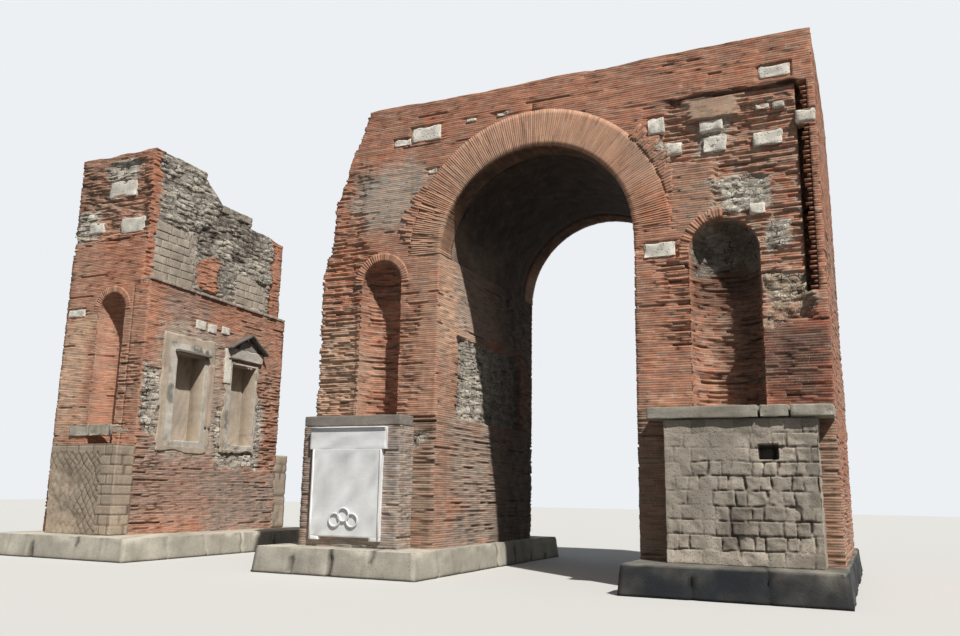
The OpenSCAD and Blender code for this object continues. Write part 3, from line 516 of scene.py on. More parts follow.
def front_look(u, x, y, z):
    """The front of the arch piers, their haunches and the left pier: worn and torn where the photograph
    shows it, with rubble in the upper half of the right niche."""
    tone = toned("red", FRONT_TONES, x, z, 3)
    inside = ramp(y, 0.05, 0.3)
    right_niche = inside * (x > ARCH_R)
    tone = blend(tone, tint("orange"), 0.4 * inside * (x < 0))
    worn = 0.1 + 0.1 * ramp(waves(x, z, 1.5, 21), 0.2, 1)
    for k, (outline, strength) in enumerate(FRONT_WORN):
        worn = np.maximum(worn, strength * within(x, z, outline, 0.2, 0.25, k + 31))
    worn = np.maximum(worn, inside * np.where(x > MIDDLE, 0.8, 0.1))
    right, left = within(x, z, TORN_RIGHT, 0.012, 0.05, 5), within(x, z, TORN_LEFT, 0.02, 0.07, 6)
    right = right * (1 - inside)
    worn = np.maximum(worn, 0.8 * np.maximum(right, left))
    core = strongest(FRONT_RUBBLE, x, z, 0.05, 0.16, 61)
    core = np.maximum(core, right_niche * within(x, z, NICHE_RUBBLE, 0.06, 0.3, 70))
    chase, back = within(x, z, CHASE, 0.002, 0), within(x, z, WORN_MIDDLE, 0.03, 0.04, 8)
    torn = (RIGHT_DEEP - RIGHT_RISE * ramp(z, 9.1, 9.6)) * right + LEFT_DEEP * left
    torn = torn + CHASE_DEEP * chase + EDGE_DEEP * back * (1 - inside)
    # Painted shade: the right niche's right side is darkened, where it lies in shadow.
    tone = tone * (1 - 0.6 * right_niche * ramp(x, 3.5, 4.3))[..., None]
    relief, tone, hollow = brick_face(u, x, z, tone, worn, core, torn)
    hollow = hollow * (1 - 0.6 * np.maximum(np.maximum(right, left), back))
    browner = core * within(x, z, BROWN_RUBBLE, 0.1, 0)
    tone = blend(tone, tone * np.array([0.86, 0.72, 0.6]), browner)
    seats = strongest([[a[[0, 2]] - 0.02, b[[0, 2]] + 0.02] for a, b in STONES], x, z, 0.004, 0, 0)
    relief = np.where(seats * (y < DEPTH / 2) > 0.5, np.minimum(relief, -SEAT_DEEP), relief)
    smooth = within(x, z, SMOOTH_PATCH, 0.02, 0.04, 9)
    relief, tone = relief * (1 - smooth) - SEAT_DEEP * smooth, blend(tone, tint("pale") * 0.8, 0.8 * smooth)
    lime = 0.25 + 0.6 * np.maximum(right, left) + 0.3 * ramp(worn, 0.3, 1) + 0.15 * waves(x, z, 0.8, 41)
    lime = np.maximum(lime, 1.4 * smooth)
    darker_low = within(x, z, DAMP, 0.15, 0.2, 43)
    tone = tone * (1 + darker_low[..., None] * np.array([0.45, -0.1, -0.2]))
    # The zone by DAMP darkens through the depth mark, and the right niche's right side gets more painted
    # shade through it.
    hollow = np.maximum(hollow + 0.38 * darker_low, 0.5 * right_niche * ramp(x, 3.6, 4.3))
    lime = lime * (1 - darker_low)
    # Painted shade in the soot mark: black in the deep chase, a painted shadow along the torn area's top
    # edge, and a little darkening in the zone by DAMP.
    soot = np.maximum(0.6 * chase + 0.85 * within(x, z, CHASE_SHADE, 0.02, 0.04), 0.06 * darker_low)
    # Painted shade over the right niche's upper half and its right side, carried by the soot mark.
    soot = np.maximum(soot, right_niche * np.maximum(0.65 * ramp(z, 5.2, 5.9), 0.4 * ramp(x, 4.0, 4.4)))
    return relief, tone, marks_of(hollow, core, soot, lime)


def plain_look(base="red", worn=0.25, seed=140, soot=0.0):
    """Brickwork for the sides that the photograph doesn't show: the same courses, with patches of wear."""
    def look(u, x, y, z):
        """Wear and colour by noise along the wall, whichever way it runs."""
        across = x + y
        tone = even(x, tint(base))
        tone = blend(tone, tint("orange"), 0.45 * ramp(waves(across, z, 1.9, seed), 0.1, 0.9))
        tone = blend(tone, tint("grey"), 0.6 * ramp(waves(across, z, 2.3, seed + 1), 0.2, 1))
        rough = worn + 0.4 * ramp(waves(across, z, 1.6, seed + 2), 0.35, 1.1)
        core = ramp(waves(across, z, 1.4, seed + 3), 0.85, 1.0)
        relief, tone, hollow = brick_face(u, across, z, tone, rough, core, 0.05 * core, seed)
        return relief, tone, marks_of(hollow, core, soot, 0.3 + 0.2 * waves(across, z, 0.9, seed + 4))
    return look


rear_look, flank_look = plain_look("red", 0.22, 140), plain_look("red", 0.3, 150)


def passage_look(u, x, y, z):
    """The archway's sides: pink brick at the corner, a band of bared core, and painted shade further in."""
    tone = toned("red", PASSAGE_TONES, y, z, 80)
    band = within(y, z, BAND, 0.03, 0.02, 7)
    worn = 0.12 + 0.25 * within(y, z, WORN_PASSAGE, 0.2, 0.1)
    relief, tone, hollow = brick_face(u, y, z, tone, worn, band, 0.05 * band, 90)
    # Painted shade: darker further in, where the passage lies in shadow, and a little darker high up near the
    # front.
    soot = 0.88 * ramp(y, 2.4, 4.6) + 0.25 * ramp(z, 5.2, 7.1) * ramp(y, 0.4, 1.6)
    return relief, tone, marks_of(hollow, band, soot, 0.25 + 0.45 * band)


def lining_look(u, x, y, z):
    """The passage side of the left pier under its ledge, with the two shrines' recesses."""
    tone = toned("red", LINING_TONES, y, z, 100)
    core = strongest(LINING_RUBBLE, y, z, 0.05, 0.14, 110)
    worn, lime = raised(0.2, WORN_LINING, y, z), raised(0.3 + 0.3 * core, LINING_LIME, y, z)
    windows = [[(start, SHRINE_SILL), (start + SHRINE_W, SHRINE_SILL + SHRINE_H)] for start in SHRINE_Y]
    recess = strongest(windows, y, z, 0.001, 0, 0)
    relief, tone, hollow = brick_face(u, y, z, tone, worn, core, 0.03 * core, 120)
    relief = np.where(recess > 0.5, -SHRINE_DEEP, relief)
    # Painted shade: darker just under the ledge and at the back of the shrines' recesses.
    return relief, tone, marks_of(hollow, core, 0.15 * ramp(z, 6.6, 7.3) + 0.3 * recess, lime)


def torn_side_look(u, x, y, z):
    """The passage side of the left pier over its ledge: long stones of the lost vault's core, seats of
    squared tufa, and brick at both corners."""
    brick = strongest(BRICK_PATCHES, y, z, 0.02, 0.12, 170)
    squared = strongest(TUFA_PATCHES, y, z, 0.02, 0.03, 180) > 0.5
    relief, tone, hollow = brick_face(u, y, z, even(x, tint("orange")), 0.4, 0 * y, 0.0, 190)
    along, above = y * 0.6 + 0.1 * waves(y, z, 0.7, 5, 1), z * 1.1 + 0.05 * waves(y, z, 0.4, 6, 1)
    stone, name = rubble(along, above, 0.19, 191)
    fallen = ramp(waves(y, z, 0.75, 9, 2), -0.1, -0.7)
    bulge = 0.07 * np.sqrt(stone) * (0.3 + 0.8 * name) + 0.05 * waves(y, z, 0.6, 9) - 0.07 * fallen
    core = 1 - brick
    # Painted shade: stones are darker where they have fallen out and left a hollow.
    stones = tint("rubble") * ((0.62 + 0.62 * name) * (1 - 0.35 * fallen))[..., None]
    tone = blend(tone, np.where(squared[..., None], tint("mortar") * 0.9, stones), core)
    relief = relief * brick + np.where(squared, 0.0, bulge) * core
    # Painted shade in the hollows between the stones, more where stones have fallen out.
    deep = np.where(squared, 0.1, (0.6 + 0.3 * fallen) * (1 - ramp(stone, 0.05, 0.4)) + 0.25 * fallen)
    return relief, tone, marks_of(hollow * brick + deep * core, core, 0.1 * core, 0.4)


def tufa_look(u, x, y, z):
    """Squared tufa in courses: open joints low in the middle, tight ones at the upper left, one block
    lost, and pits."""
    along, above = u + 0.03 * waves(x, z, 0.3, 3, 2), z - PLINTH + 0.02 * waves(u, z, 0.3, 5, 2)
    edge, kind = blocks(along, above, 0.26, 0.32, 11)
    edge = edge + 0.008 * waves(u, z, 0.1, 6, 2)
    opened = 0.2 + 0.8 * within(x, z, OPEN_TUFA, 0.3, 0.5, 12)
    joint = (1 - ramp(edge, 0.0, 0.008 + 0.014 * opened)) * ramp(waves(u, z, 0.3, 14), -1.2, -0.3)
    relief = -0.04 * opened * joint - 0.03 * opened * kind**2 - 0.016 * (1 + waves(u, z, 0.16, 13)) * opened
    lost = within(x, z, LOST_TUFA, 0.002, 0)
    # The lost block's hole is painted dark with the soot mark: painted shade.
    marks = marks_of(1.1 * joint * opened + 0.3 * lost, 0, 0.85 * lost, 0)
    stain = 0.2 * waves(u, z, 0.8, 15) - 0.25 * ramp(waves(3 * u, z, 1.2, 16), 0.3, 1.2)
    return relief - LOST_DEEP * lost, even(x) * (0.8 + 0.44 * kind + stain)[..., None], marks


def diagonal_look(u, x, y, z):
    """A diagonal net of small square stones, worn away low down at the left, with squared blocks at the
    corner to the passage."""
    bent, lifted = u + 0.07 * waves(u, z, 0.5, 21, 2), z + 0.07 * waves(u, z, 0.45, 22, 2)
    stone = 0.21
    s, t = (bent + 0.8 * lifted) / stone, (bent - 0.8 * lifted) / stone
    near = np.minimum(np.abs(s - np.round(s)), np.abs(t - np.round(t)))
    kind = chance(np.floor(s), np.floor(t), 3)
    edge, block = blocks(u, z - PLINTH, 0.25, 0.36, 5)
    corner = (u > LINING - 0.5) | (z > 2.62)
    near, kind = np.where(corner, edge / stone, near), np.where(corner, block, kind)
    worn = within(x, z, WORN_DIAGONAL, 0.3, 0.3, 6)
    joint = 1 - ramp(near, 0.02, 0.1)
    relief = -0.022 * joint * (1 - worn) - worn * (0.04 + 0.02 * waves(x, z, 0.3, 7)) - 0.014 * kind
    tone = even(x, np.array([1.06, 0.98, 0.9])) * (0.9 + 0.25 * kind + 0.1 * waves(u, z, 0.7, 23))[..., None]
    return relief, tone, marks_of(0.85 * joint * (1 - 0.7 * worn), 0, 0, 0)


def band_look(u, x, y, z):
    """The brick pedestal: grey-brown courses with pale joints."""
    tone = toned("grey", MIDDLE_PEDESTAL_TONES, x, z, 200)
    relief, tone, hollow = brick_face(u, x, z, tone * np.array([0.68, 0.72, 0.82]), 0.18, 0 * x, 0.0, 210)
    return relief, tone, marks_of(hollow * 0.5, 0, 0, 0.55)


def still_look(u, x, y, z):
    """A hidden side, left flat so that two pieces meet on it."""
    return 0 * x, even(x, tint("rubble")), marks_of(0 * x, 0, 0, 0)


def plinth_look(places, joint, soot, along_x):
    """One side of a plinth: stones between open joints, chipped along their upper edge and dark or pale,
    each a little further in or out than the next."""
    def look(u, x, y, z):
        """Joints at set places, noise and a chipped edge by their distance, and darkening below the edge."""
        across = x if along_x else y
        gap = np.abs(across[..., None] - places - joint / 2).min(axis=-1)
        number = (across[..., None] > places).sum(axis=-1)
        edge = np.maximum(ramp(z, PLINTH - 0.13, PLINTH), 1 - ramp(gap, 0.01, 0.06))
        relief = -0.008 - 0.01 * (1 + waves(u, z, 0.35, 31)) - 0.02 * chance(number, 3) - 0.05 * edge * ramp(
            waves(u, z, 0.3, 33), 0.0, 0.9) - 0.03 * (gap < joint / 2)
        # Dark lichen, and on the right plinth also a painted shadow; less dark along the top edge.
        dirt_and_shade = soot * (0.85 + 0.3 * waves(u, z, 0.5, 35)) * (1 - 0.45 * ramp(z, PLINTH - 0.05, PLINTH - 0.01))
        tone = even(x) * ((0.9 + 0.15 * waves(u, z, 0.8, 34)) * np.maximum(1 - 0.9 * dirt_and_shade, 0.04))[..., None]
        # Darker towards the ground.
        darker_low = 0.3 * ramp(0.15 - z, 0, 0.15)
        return relief, tone, marks_of(0.9 * (gap < joint / 2) + darker_low, 0, dirt_and_shade, 0)
    return look


# Nets carried round a block


def course_rows(bottom, top):
    """Heights of a wall's net: a line in each mortar bed and two on each course of bricks."""
    course = size("course")
    k = np.arange(math.floor((bottom - SPRING) / course) - 1, math.ceil((top - SPRING) / course) + 1)
    z = (SPRING + (k[:, None] + COURSE_LINES) * course).ravel()
    return np.concatenate([[bottom], z[(z > bottom + 0.004) & (z < top - 0.004)], [top]])


def columns(rows, a, b, step, breaks=()):
    """Columns at even steps between two edges, each one number or one for each row, with a close pair of
    columns at each break."""
    a, b = np.broadcast_to(a, rows.shape), np.broadcast_to(b, rows.shape)
    start, width = a.mean(), b.mean() - a.mean()
    t = np.linspace(0, 1, max(1, int(round(abs(width) / step))) + 1)
    for place in breaks:
        at = (place - start) / width
        t = t[np.abs(t - at) > min(0.4 * step, 0.02) / abs(width)]
        t = np.concatenate([t, at + np.array([-0.002, 0.002]) / abs(width)])
    return a[:, None] + (b - a)[:, None] * np.sort(t)


def face(rows, edges, step=None, niche=None, y=0.0, breaks=()):
    """Columns along a front from edge to edge; breaks lie between the last two. A niche's columns follow
    its half circle, and over its springing the quarter sphere's: half the chord at height h is the root of
    r squared less h squared. Returns x, y and the distance along the bricks."""
    step = step or size("step")
    if niche is None:
        parts = [columns(rows, a, b, step, breaks if k == len(edges) - 2 else ())
                 for k, (a, b) in enumerate(zip(edges, edges[1:]))]
        x = np.hstack([part[:, :-1] for part in parts[:-1]] + parts[-1:])
        return x, y + 0 * x, x
    middle, radius, spring = niche
    chord = np.maximum(np.sqrt(radius**2 - np.clip(rows - spring, 0, radius) ** 2), 0.004)
    turn = np.linspace(0, np.pi, NICHE_COLUMNS)
    near = radius + NICHE_MARGIN
    before = np.hstack([columns(rows, edges[0], middle - near, step)[:, :-1],
                        columns(rows, middle - near, middle - chord, NICHE_STEP)])
    after = np.hstack([columns(rows, middle + chord, middle + near, NICHE_STEP),
                       columns(rows, middle + near, edges[-1], step, breaks)[:, 1:]])
    x = np.hstack([before, middle - chord[:, None] * np.cos(turn), after])
    deep = np.hstack([0 * before, chord[:, None] * np.sin(turn), 0 * after])
    along = np.hstack([before, middle + chord[:, None] * (turn - np.pi / 2), after])
    return x, y + deep, along


def mirrored(front):
    """A rear like a front."""
    x, y, u = front
    return x, DEPTH - y, u


def prism(rows, front, rear, right, left, looks, top=None, patch=False, bonded=True):
    """A closed block of four sides round a front and a rear, as face() gives them, and two sides between
    them in shares from 0 to 1, or in a number of even steps. Each point moves out of its side by the relief
    of that side's look, and a corner by both its sides'. The ends are drawn in to a middle point, or
    stretched over as a patch."""
    fx, fy, fu = front
    rx, ry, ru = rear
    right, left = (np.linspace(0, 1, side + 1) if isinstance(side, int) else side for side in (right, left))
    right_x, right_y = (f[:, -1:] + (r[:, -1:] - f[:, -1:]) * right for f, r in ((fx, rx), (fy, ry)))
    left_x, left_y = (r[:, :1] + (f[:, :1] - r[:, :1]) * left for f, r in ((fx, rx), (fy, ry)))
    around = [(fx, fy, fu, (0, -1)), (right_x, right_y, right_y, (1, 0)),
              (rx[:, ::-1], ry[:, ::-1], -ru[:, ::-1], (0, 1)), (left_x, left_y, -left_y, (-1, 0))]
    sides = []
    for (x, y, u, out), look in zip(around, looks):
        z = np.broadcast_to(rows[:, None], x.shape)
        if bonded:
            x, y, u = to_brick_ends(x, y, u, z if top is None else np.minimum(z, top(x, y)))
        z = z if top is None else np.minimum(z, top(x, y))
        sides.append((x, y, z, u, out, *look(u, x, y, z)))
    nets = []
    for k, (x, y, z, u, out, relief, tone, marks) in enumerate(sides):
        before, after = sides[k - 1], sides[(k + 1) % 4]
        px, py = x + out[0] * relief, y + out[1] * relief
        px[:, 0] += before[4][0] * before[5][:, -1]
        py[:, 0] += before[4][1] * before[5][:, -1]
        px[:, -1] += after[4][0] * after[5][:, 0]
        py[:, -1] += after[4][1] * after[5][:, 0]
        along = bond(u, z)[1] * size("brick") if bonded else u
        uv = np.stack([along, z - SPRING + BED * size("course")], axis=-1)
        nets.append((np.stack([px, py, z], axis=-1), uv, tone, marks))
    if patch:
        return nets + [stretched(nets, -1), turned(stretched(nets, 0))]
    middles = [np.mean([net[0][end].mean(axis=0) for net in nets], axis=0) for end in (0, -1)]
    return [drawn_in(net, middles) for net in nets]


def drawn_in(net, middles):
    """A side's net with five rows added under and five over it, that run in to the two middle points."""
    parts = [[], [], [], []]
    shares = np.array([1.0, 0.6, 0.2, 0.06, 0.015])
    for end, share in ((0, shares), (-1, shares[::-1])):
        points, uv, tone, marks = (a[end] for a in net)
        inward = (middles[end] - points) * share[:, None, None]
        far = np.linalg.norm(inward[..., :2], axis=-1) * (1 if end else -1)
        added = (points + inward, uv + np.stack([0 * far, far], axis=-1), *(
            np.repeat(a[None], len(shares), axis=0) for a in (tone, marks)))
        for k, a in enumerate(added):
            parts[k].append(a)
    return tuple(np.concatenate([under, a, over]) for a, (under, over) in zip(net, parts))


def stretched(nets, end):
    """A patch over four edges: the two ways of joining opposite edges, added, less the four corners, kept
    within them."""
    edge = [net[0][end] for net in nets]
    front, rear, left, right = edge[0], edge[2][::-1], edge[3][::-1], edge[1]
    s, t = np.linspace(0, 1, len(front))[None, :, None], np.linspace(0, 1, len(left))[:, None, None]
    p = (1 - t) * front[None] + t * rear[None] + (1 - s) * left[:, None] + s * right[:, None]
    p = p - ((1 - t) * ((1 - s) * front[0] + s * front[-1]) + t * ((1 - s) * rear[0] + s * rear[-1]))
    stone, name = rubble(p[..., 0], p[..., 1], 0.24, 3)
    p[1:-1, 1:-1, 2] -= 0.04 * (1 - stone[1:-1, 1:-1])
    around, margin = np.concatenate(edge), 0.03
    least, most = around.min(axis=0) + (margin, margin, -1), around.max(axis=0) - (margin, margin, 0)
    p[1:-1, 1:-1] = np.clip(p[1:-1, 1:-1], least, most)
    return p, p[..., :2], tint("rubble") * (0.6 + 0.6 * name)[..., None], marks_of(0.5 - stone, 1, 0.1, 0.3)


def chipped(low_corner, high_corner, cells=5, round_by=0.02, rough=0.008, seed=0, tone=1.0, soot=0.0,
            lean=None):
    """A worn block: the six faces of a box as nets, each point drawn in towards a smaller box and pushed
    out by the rounding's radius less some noise, so edges turn round. lean(points) bends it."""
    a, b = np.array(low_corner, float), np.array(high_corner, float)
    r = min(round_by, 0.3 * float(np.min(b - a)))
    t = 0.5 - 0.5 * np.cos(np.pi * np.linspace(0, 1, cells + 1))
    s, v = np.meshgrid(t, t)
    faces = [(s, 0 * s, v), (1 + 0 * s, s, v), (1 - s, 1 + 0 * s, v), (0 * s, 1 - s, v), (s, v, 1 + 0 * s),
             (s, 1 - v, 0 * s)]
    nets = []
    for side in faces:
        p = a + np.stack(side, axis=-1) * (b - a)
        inner = np.clip(p, a + r, b - r)
        away = (p - inner) / np.maximum(np.linalg.norm(p - inner, axis=-1, keepdims=True), 1e-9)
        wobble = waves(p[..., 0] * 1.3 + p[..., 1] * 0.7, p[..., 2] * 1.1 + p[..., 1] * 1.9, 0.16, seed)
        p = inner + away * (r - rough * np.clip(0.8 + 0.8 * wobble, 0, 2))[..., None]
        p = p if lean is None else lean(p)
        nets.append((p, p[..., :2], tone * np.ones(p.shape), marks_of(0.2 - 0.25 * wobble, 0, soot, 0.3)))
    return nets


def islands(node):
    """The boxes of a node's separate solids, from the archway's axis: triangles that share a corner's
    place get one number, until no number changes."""
    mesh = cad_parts[node].data
    places = np.empty(len(mesh.vertices) * 3)
    mesh.vertices.foreach_get("co", places)
    places = places.reshape(-1, 3)
    _, same = np.unique(np.round(places, 4), axis=0, return_inverse=True)
    same = same.reshape(-1)
    mesh.calc_loop_triangles()
    ends = np.empty(len(mesh.loop_triangles) * 3, np.int32)
    mesh.loop_triangles.foreach_get("vertices", ends)
    ends = same[ends.reshape(-1, 3)]
    label = np.arange(same.max() + 1)
    while True:
        least = label[ends].min(axis=1)
        new = label.copy()
        for k in range(3):
            np.minimum.at(new, ends[:, k], least)
        if (new == label).all():
            break
        label = new
    owner = label[same]
    return [(places[owner == k].min(axis=0) - ORIGIN, places[owner == k].max(axis=0) - ORIGIN)
            for k in np.unique(owner)]


def niche_of(node):
    """Middle, radius and springing height of a niche, from the box of its ring."""
    a, b = low(node), high(node)
    radius = (b[0] - a[0]) / 2 - NICHE_RING
    return (a[0] + b[0]) / 2 - AXIS, radius, b[2] - radius - NICHE_RING


STONES = [box for side in ("right", "middle", "left") for box in islands(side + "_stone_blocks")]
RIGHT_NICHE = niche_of("right_niche_ring")
MIDDLE_NICHE = niche_of("middle_niche_ring")
LEFT_NICHE = niche_of("left_niche_ring")


def ring_edge(rows):
    """How far the haunch's edge lies from the axis at each height: just inside the arch ring's outer side,
    by the root of its radius squared less the height squared, and at the jamb up to the springing."""
    inside = np.sqrt(np.maximum((RING_R - RING_LAP) ** 2 - (rows - SPRING) ** 2, 0))
    return np.where(rows > SPRING, inside, ARCH_R)


# Materials


def add(tree, kind, inputs=None, **settings):
    """A shader node of one kind: settings are its own values; inputs are values or sockets, by name or
    number."""
    node = tree.nodes.new("ShaderNode" + kind)
    for key, value in settings.items():
        setattr(node, key, value)
    for key, value in (inputs or {}).items():
        plug(tree, node.inputs[key], value)
    return node


def plug(tree, socket, value):
    """Links a socket to an input, or sets the input to a value."""
    if isinstance(value, bpy.types.NodeSocket):
        tree.links.new(value, socket)
    else:
        socket.default_value = (*value, 1) if socket.type == "RGBA" and len(value) == 3 else value


def mixed(tree, share, a, b, how="MIX"):
    """A colour between two others by a share, or joined to it in another way."""
    node = add(tree, "Mix", data_type="RGBA", blend_type=how, clamp_factor=True)
    for place, value in ((0, share), (6, a), (7, b)):
        plug(tree, node.inputs[place], value)
    return node.outputs[2]


def maths(tree, how, a, b=0.0, c=0.5, clamp=False):
    """One sum, product or the like of values or sockets."""
    return add(tree, "Math", {0: a, 1: b, 2: c}, operation=how, use_clamp=clamp).outputs[0]


def stretch(tree, value, low_in, high_in, low_out=0.0, high_out=1.0):
    """A value's range carried over to another range, and held within it."""
    node = add(tree, "MapRange", {0: value, 1: low_in, 2: high_in, 3: low_out, 4: high_out})
    return node.outputs[0]


def new_group(name, inputs, outputs):
    """An empty node group with the inputs (name, kind, default) and outputs (name, kind) named."""
    tree = bpy.data.node_groups.new(name, "ShaderNodeTree")
    for label, kind, value in inputs:
        socket = tree.interface.new_socket(name=label, in_out="INPUT", socket_type="NodeSocket" + kind)
        socket.default_value = (*value, 1) if kind == "Color" else value
    for label, kind in outputs:
        tree.interface.new_socket(name=label, in_out="OUTPUT", socket_type="NodeSocket" + kind)
    return tree, tree.nodes.new("NodeGroupInput").outputs, tree.nodes.new("NodeGroupOutput").inputs


def noise(tree, where, scale, detail=4.0, rough=0.55):
    """Smooth noise at each place, from 0 to 1."""
    inputs = {"Vector": where, "Scale": scale, "Detail": detail, "Roughness": rough}
    return add(tree, "TexNoise", inputs).outputs["Fac"]


def brick_bond_group():
    """Courses of brick on the wall's own net: each brick a little darker, lighter or more orange than the
    next, mortar between them, and its height."""
    tree, given, out = new_group(
        "Brick bond",
        [("Tone", "Color", (0.5, 0.3, 0.2)), ("Mortar", "Color", (0.5, 0.4, 0.3)), ("Course", "Float", 0.048),
         ("Length", "Float", 0.26), ("Joint", "Float", 0.005), ("Lime", "Float", 0.3)],
        [("Color", "Color"), ("Height", "Float")])
    laid = add(tree, "UVMap", uv_map="wall").outputs[0]
    where = add(tree, "TexCoord").outputs["Object"]
    wobble = add(tree, "CombineXYZ", {1: maths(
        tree, "MULTIPLY_ADD", noise(tree, where, 9.0, 2.0), 0.01, -0.005)})
    nudged = add(tree, "VectorMath", {0: laid, 1: wobble.outputs[0]}, operation="ADD").outputs[0]
    bond = add(tree, "TexBrick", {
        "Vector": nudged, "Color1": (0, 0, 0), "Color2": (1, 1, 1), "Mortar": (0.5, 0.5, 0.5),
        "Scale": 1.0, "Mortar Size": given["Joint"], "Mortar Smooth": 0.35, "Bias": 0.0,
        "Brick Width": given["Length"], "Row Height": given["Course"]}, offset=0.0, squash=1.0)
    luck = add(tree, "SeparateColor", {0: bond.outputs["Color"]}).outputs[0]
    grain = noise(tree, where, 46.0, 3.0)
    dark = mixed(tree, stretch(tree, luck, 0.0, 0.4, 0.4, 0.0), given["Tone"], (0.08, 0.035, 0.022))
    light = mixed(tree, stretch(tree, luck, 0.6, 1.0, 0.0, 0.34), dark, (0.74, 0.42, 0.27))
    rough = mixed(tree, stretch(tree, grain, 0.35, 0.7, 0.0, 0.35), light, (0.5, 0.42, 0.34))
    smeared = stretch(tree, noise(tree, where, 7.0, 5.0, 0.65), 0.42, 0.62, 0.0, 1.0)
    limed = maths(tree, "MULTIPLY", smeared, given["Lime"])
    spread = maths(tree, "ADD", bond.outputs["Fac"], maths(tree, "MULTIPLY", limed, 0.7), clamp=True)
    shaded = mixed(tree, stretch(tree, noise(tree, where, 5.0), 0.4, 0.7, 0.0, 0.6), given["Mortar"],
                   (0.11, 0.08, 0.06))
    tree.links.new(mixed(tree, maths(tree, "MULTIPLY", spread, 0.85), rough, shaded), out["Color"])
    tree.links.new(maths(tree, "SUBTRACT", maths(tree, "MULTIPLY", grain, 0.25), bond.outputs["Fac"]),
                   out["Height"])
    return tree


def stone_grain_group():
    """Stone: broad patches, fine grain and dark pits, with its height."""
    tree, given, out = new_group(
        "Stone grain",
        [("Tone", "Color", (0.5, 0.45, 0.4)), ("Shade", "Color", (0.2, 0.18, 0.15)), ("Scale", "Float", 12.0),
         ("Pits", "Float", 0.5)],
        [("Color", "Color"), ("Height", "Float")])
    where = add(tree, "TexCoord").outputs["Object"]
    broad = noise(tree, where, maths(tree, "MULTIPLY", given["Scale"], 0.18), 5.0)
    fine = noise(tree, where, given["Scale"], 6.0, 0.65)
    closer = maths(tree, "MULTIPLY", given["Scale"], 3.0)
    pits = add(tree, "TexVoronoi", {"Vector": where, "Scale": closer})
    pitted = stretch(tree, pits.outputs["Distance"], 0.12, 0.32, 1.0, 0.0)
    hole = maths(tree, "MULTIPLY", pitted, given["Pits"])
    base = mixed(tree, stretch(tree, broad, 0.38, 0.72, 0.0, 0.5), given["Tone"], given["Shade"])
    base = mixed(tree, stretch(tree, fine, 0.42, 0.78, 0.0, 0.45), base, given["Shade"])
    base = mixed(tree, maths(tree, "MULTIPLY", hole, 0.6), base, (0.04, 0.035, 0.03))
    tree.links.new(base, out["Color"])
    tree.links.new(maths(tree, "SUBTRACT", fine, hole), out["Height"])
    return tree


def rubble_group():
    """Bared concrete: stones of two sizes, each lighter or darker than the next, in pale mortar that has
    fallen out here and there."""
    tree, given, out = new_group("Rubble", [("Tone", "Color", (0.5, 0.45, 0.4)), ("Scale", "Float", 7.0)],
                                 [("Color", "Color"), ("Height", "Float")])
    where = add(tree, "TexCoord").outputs["Object"]
    wavy = add(tree, "TexNoise", {"Vector": where, "Scale": 5.0, "Detail": 2.0}).outputs["Color"]
    bent = add(tree, "VectorMath", {0: wavy, "Scale": 0.09}, operation="SCALE").outputs[0]
    place = add(tree, "VectorMath", {0: where, 1: bent}, operation="ADD").outputs[0]
    small = stretch(tree, noise(tree, where, 1.6, 3.0), 0.46, 0.54)
    edges, lucks = [], []
    for share in (1.0, 2.1):
        finer = maths(tree, "MULTIPLY", given["Scale"], share)
        edge = add(tree, "TexVoronoi", {"Vector": place, "Scale": finer}, feature="DISTANCE_TO_EDGE")
        cell = add(tree, "TexVoronoi", {"Vector": place, "Scale": finer})
        edges.append(edge.outputs["Distance"])
        lucks.append(add(tree, "SeparateColor", {0: cell.outputs["Color"]}).outputs[0])
    edge, luck = [add(tree, "Mix", {0: small, 2: pair[0], 3: pair[1]}, data_type="FLOAT").outputs[0]
                  for pair in (edges, lucks)]
    joint = stretch(tree, edge, 0.01, 0.1, 1.0, 0.0)
    dark = mixed(tree, stretch(tree, luck, 0.0, 0.5, 0.62, 0.0), given["Tone"], (0.16, 0.13, 0.1))
    stone = mixed(tree, stretch(tree, luck, 0.6, 1.0, 0.0, 0.75), dark, (0.82, 0.78, 0.7))
    grain = noise(tree, where, 34.0, 5.0, 0.65)
    stone = mixed(tree, stretch(tree, grain, 0.45, 0.75, 0.0, 0.6), stone, (0.2, 0.17, 0.14))
    filled = stretch(tree, noise(tree, where, 6.0, 4.0), 0.38, 0.5)
    mortar = mixed(tree, filled, (0.045, 0.036, 0.03), mixed(tree, 0.45, given["Tone"], (0.75, 0.7, 0.62)))
    tree.links.new(mixed(tree, joint, stone, mortar), out["Color"])
    fallen = maths(tree, "MULTIPLY", joint, maths(tree, "SUBTRACT", 1.3, filled))
    proud = maths(tree, "MULTIPLY_ADD", luck, 0.8, maths(tree, "MULTIPLY", grain, 0.5))
    level = maths(tree, "SUBTRACT", proud, maths(tree, "MULTIPLY", fallen, 1.6))
    tree.links.new(maths(tree, "MULTIPLY", level, 2.5), out["Height"])
    return tree


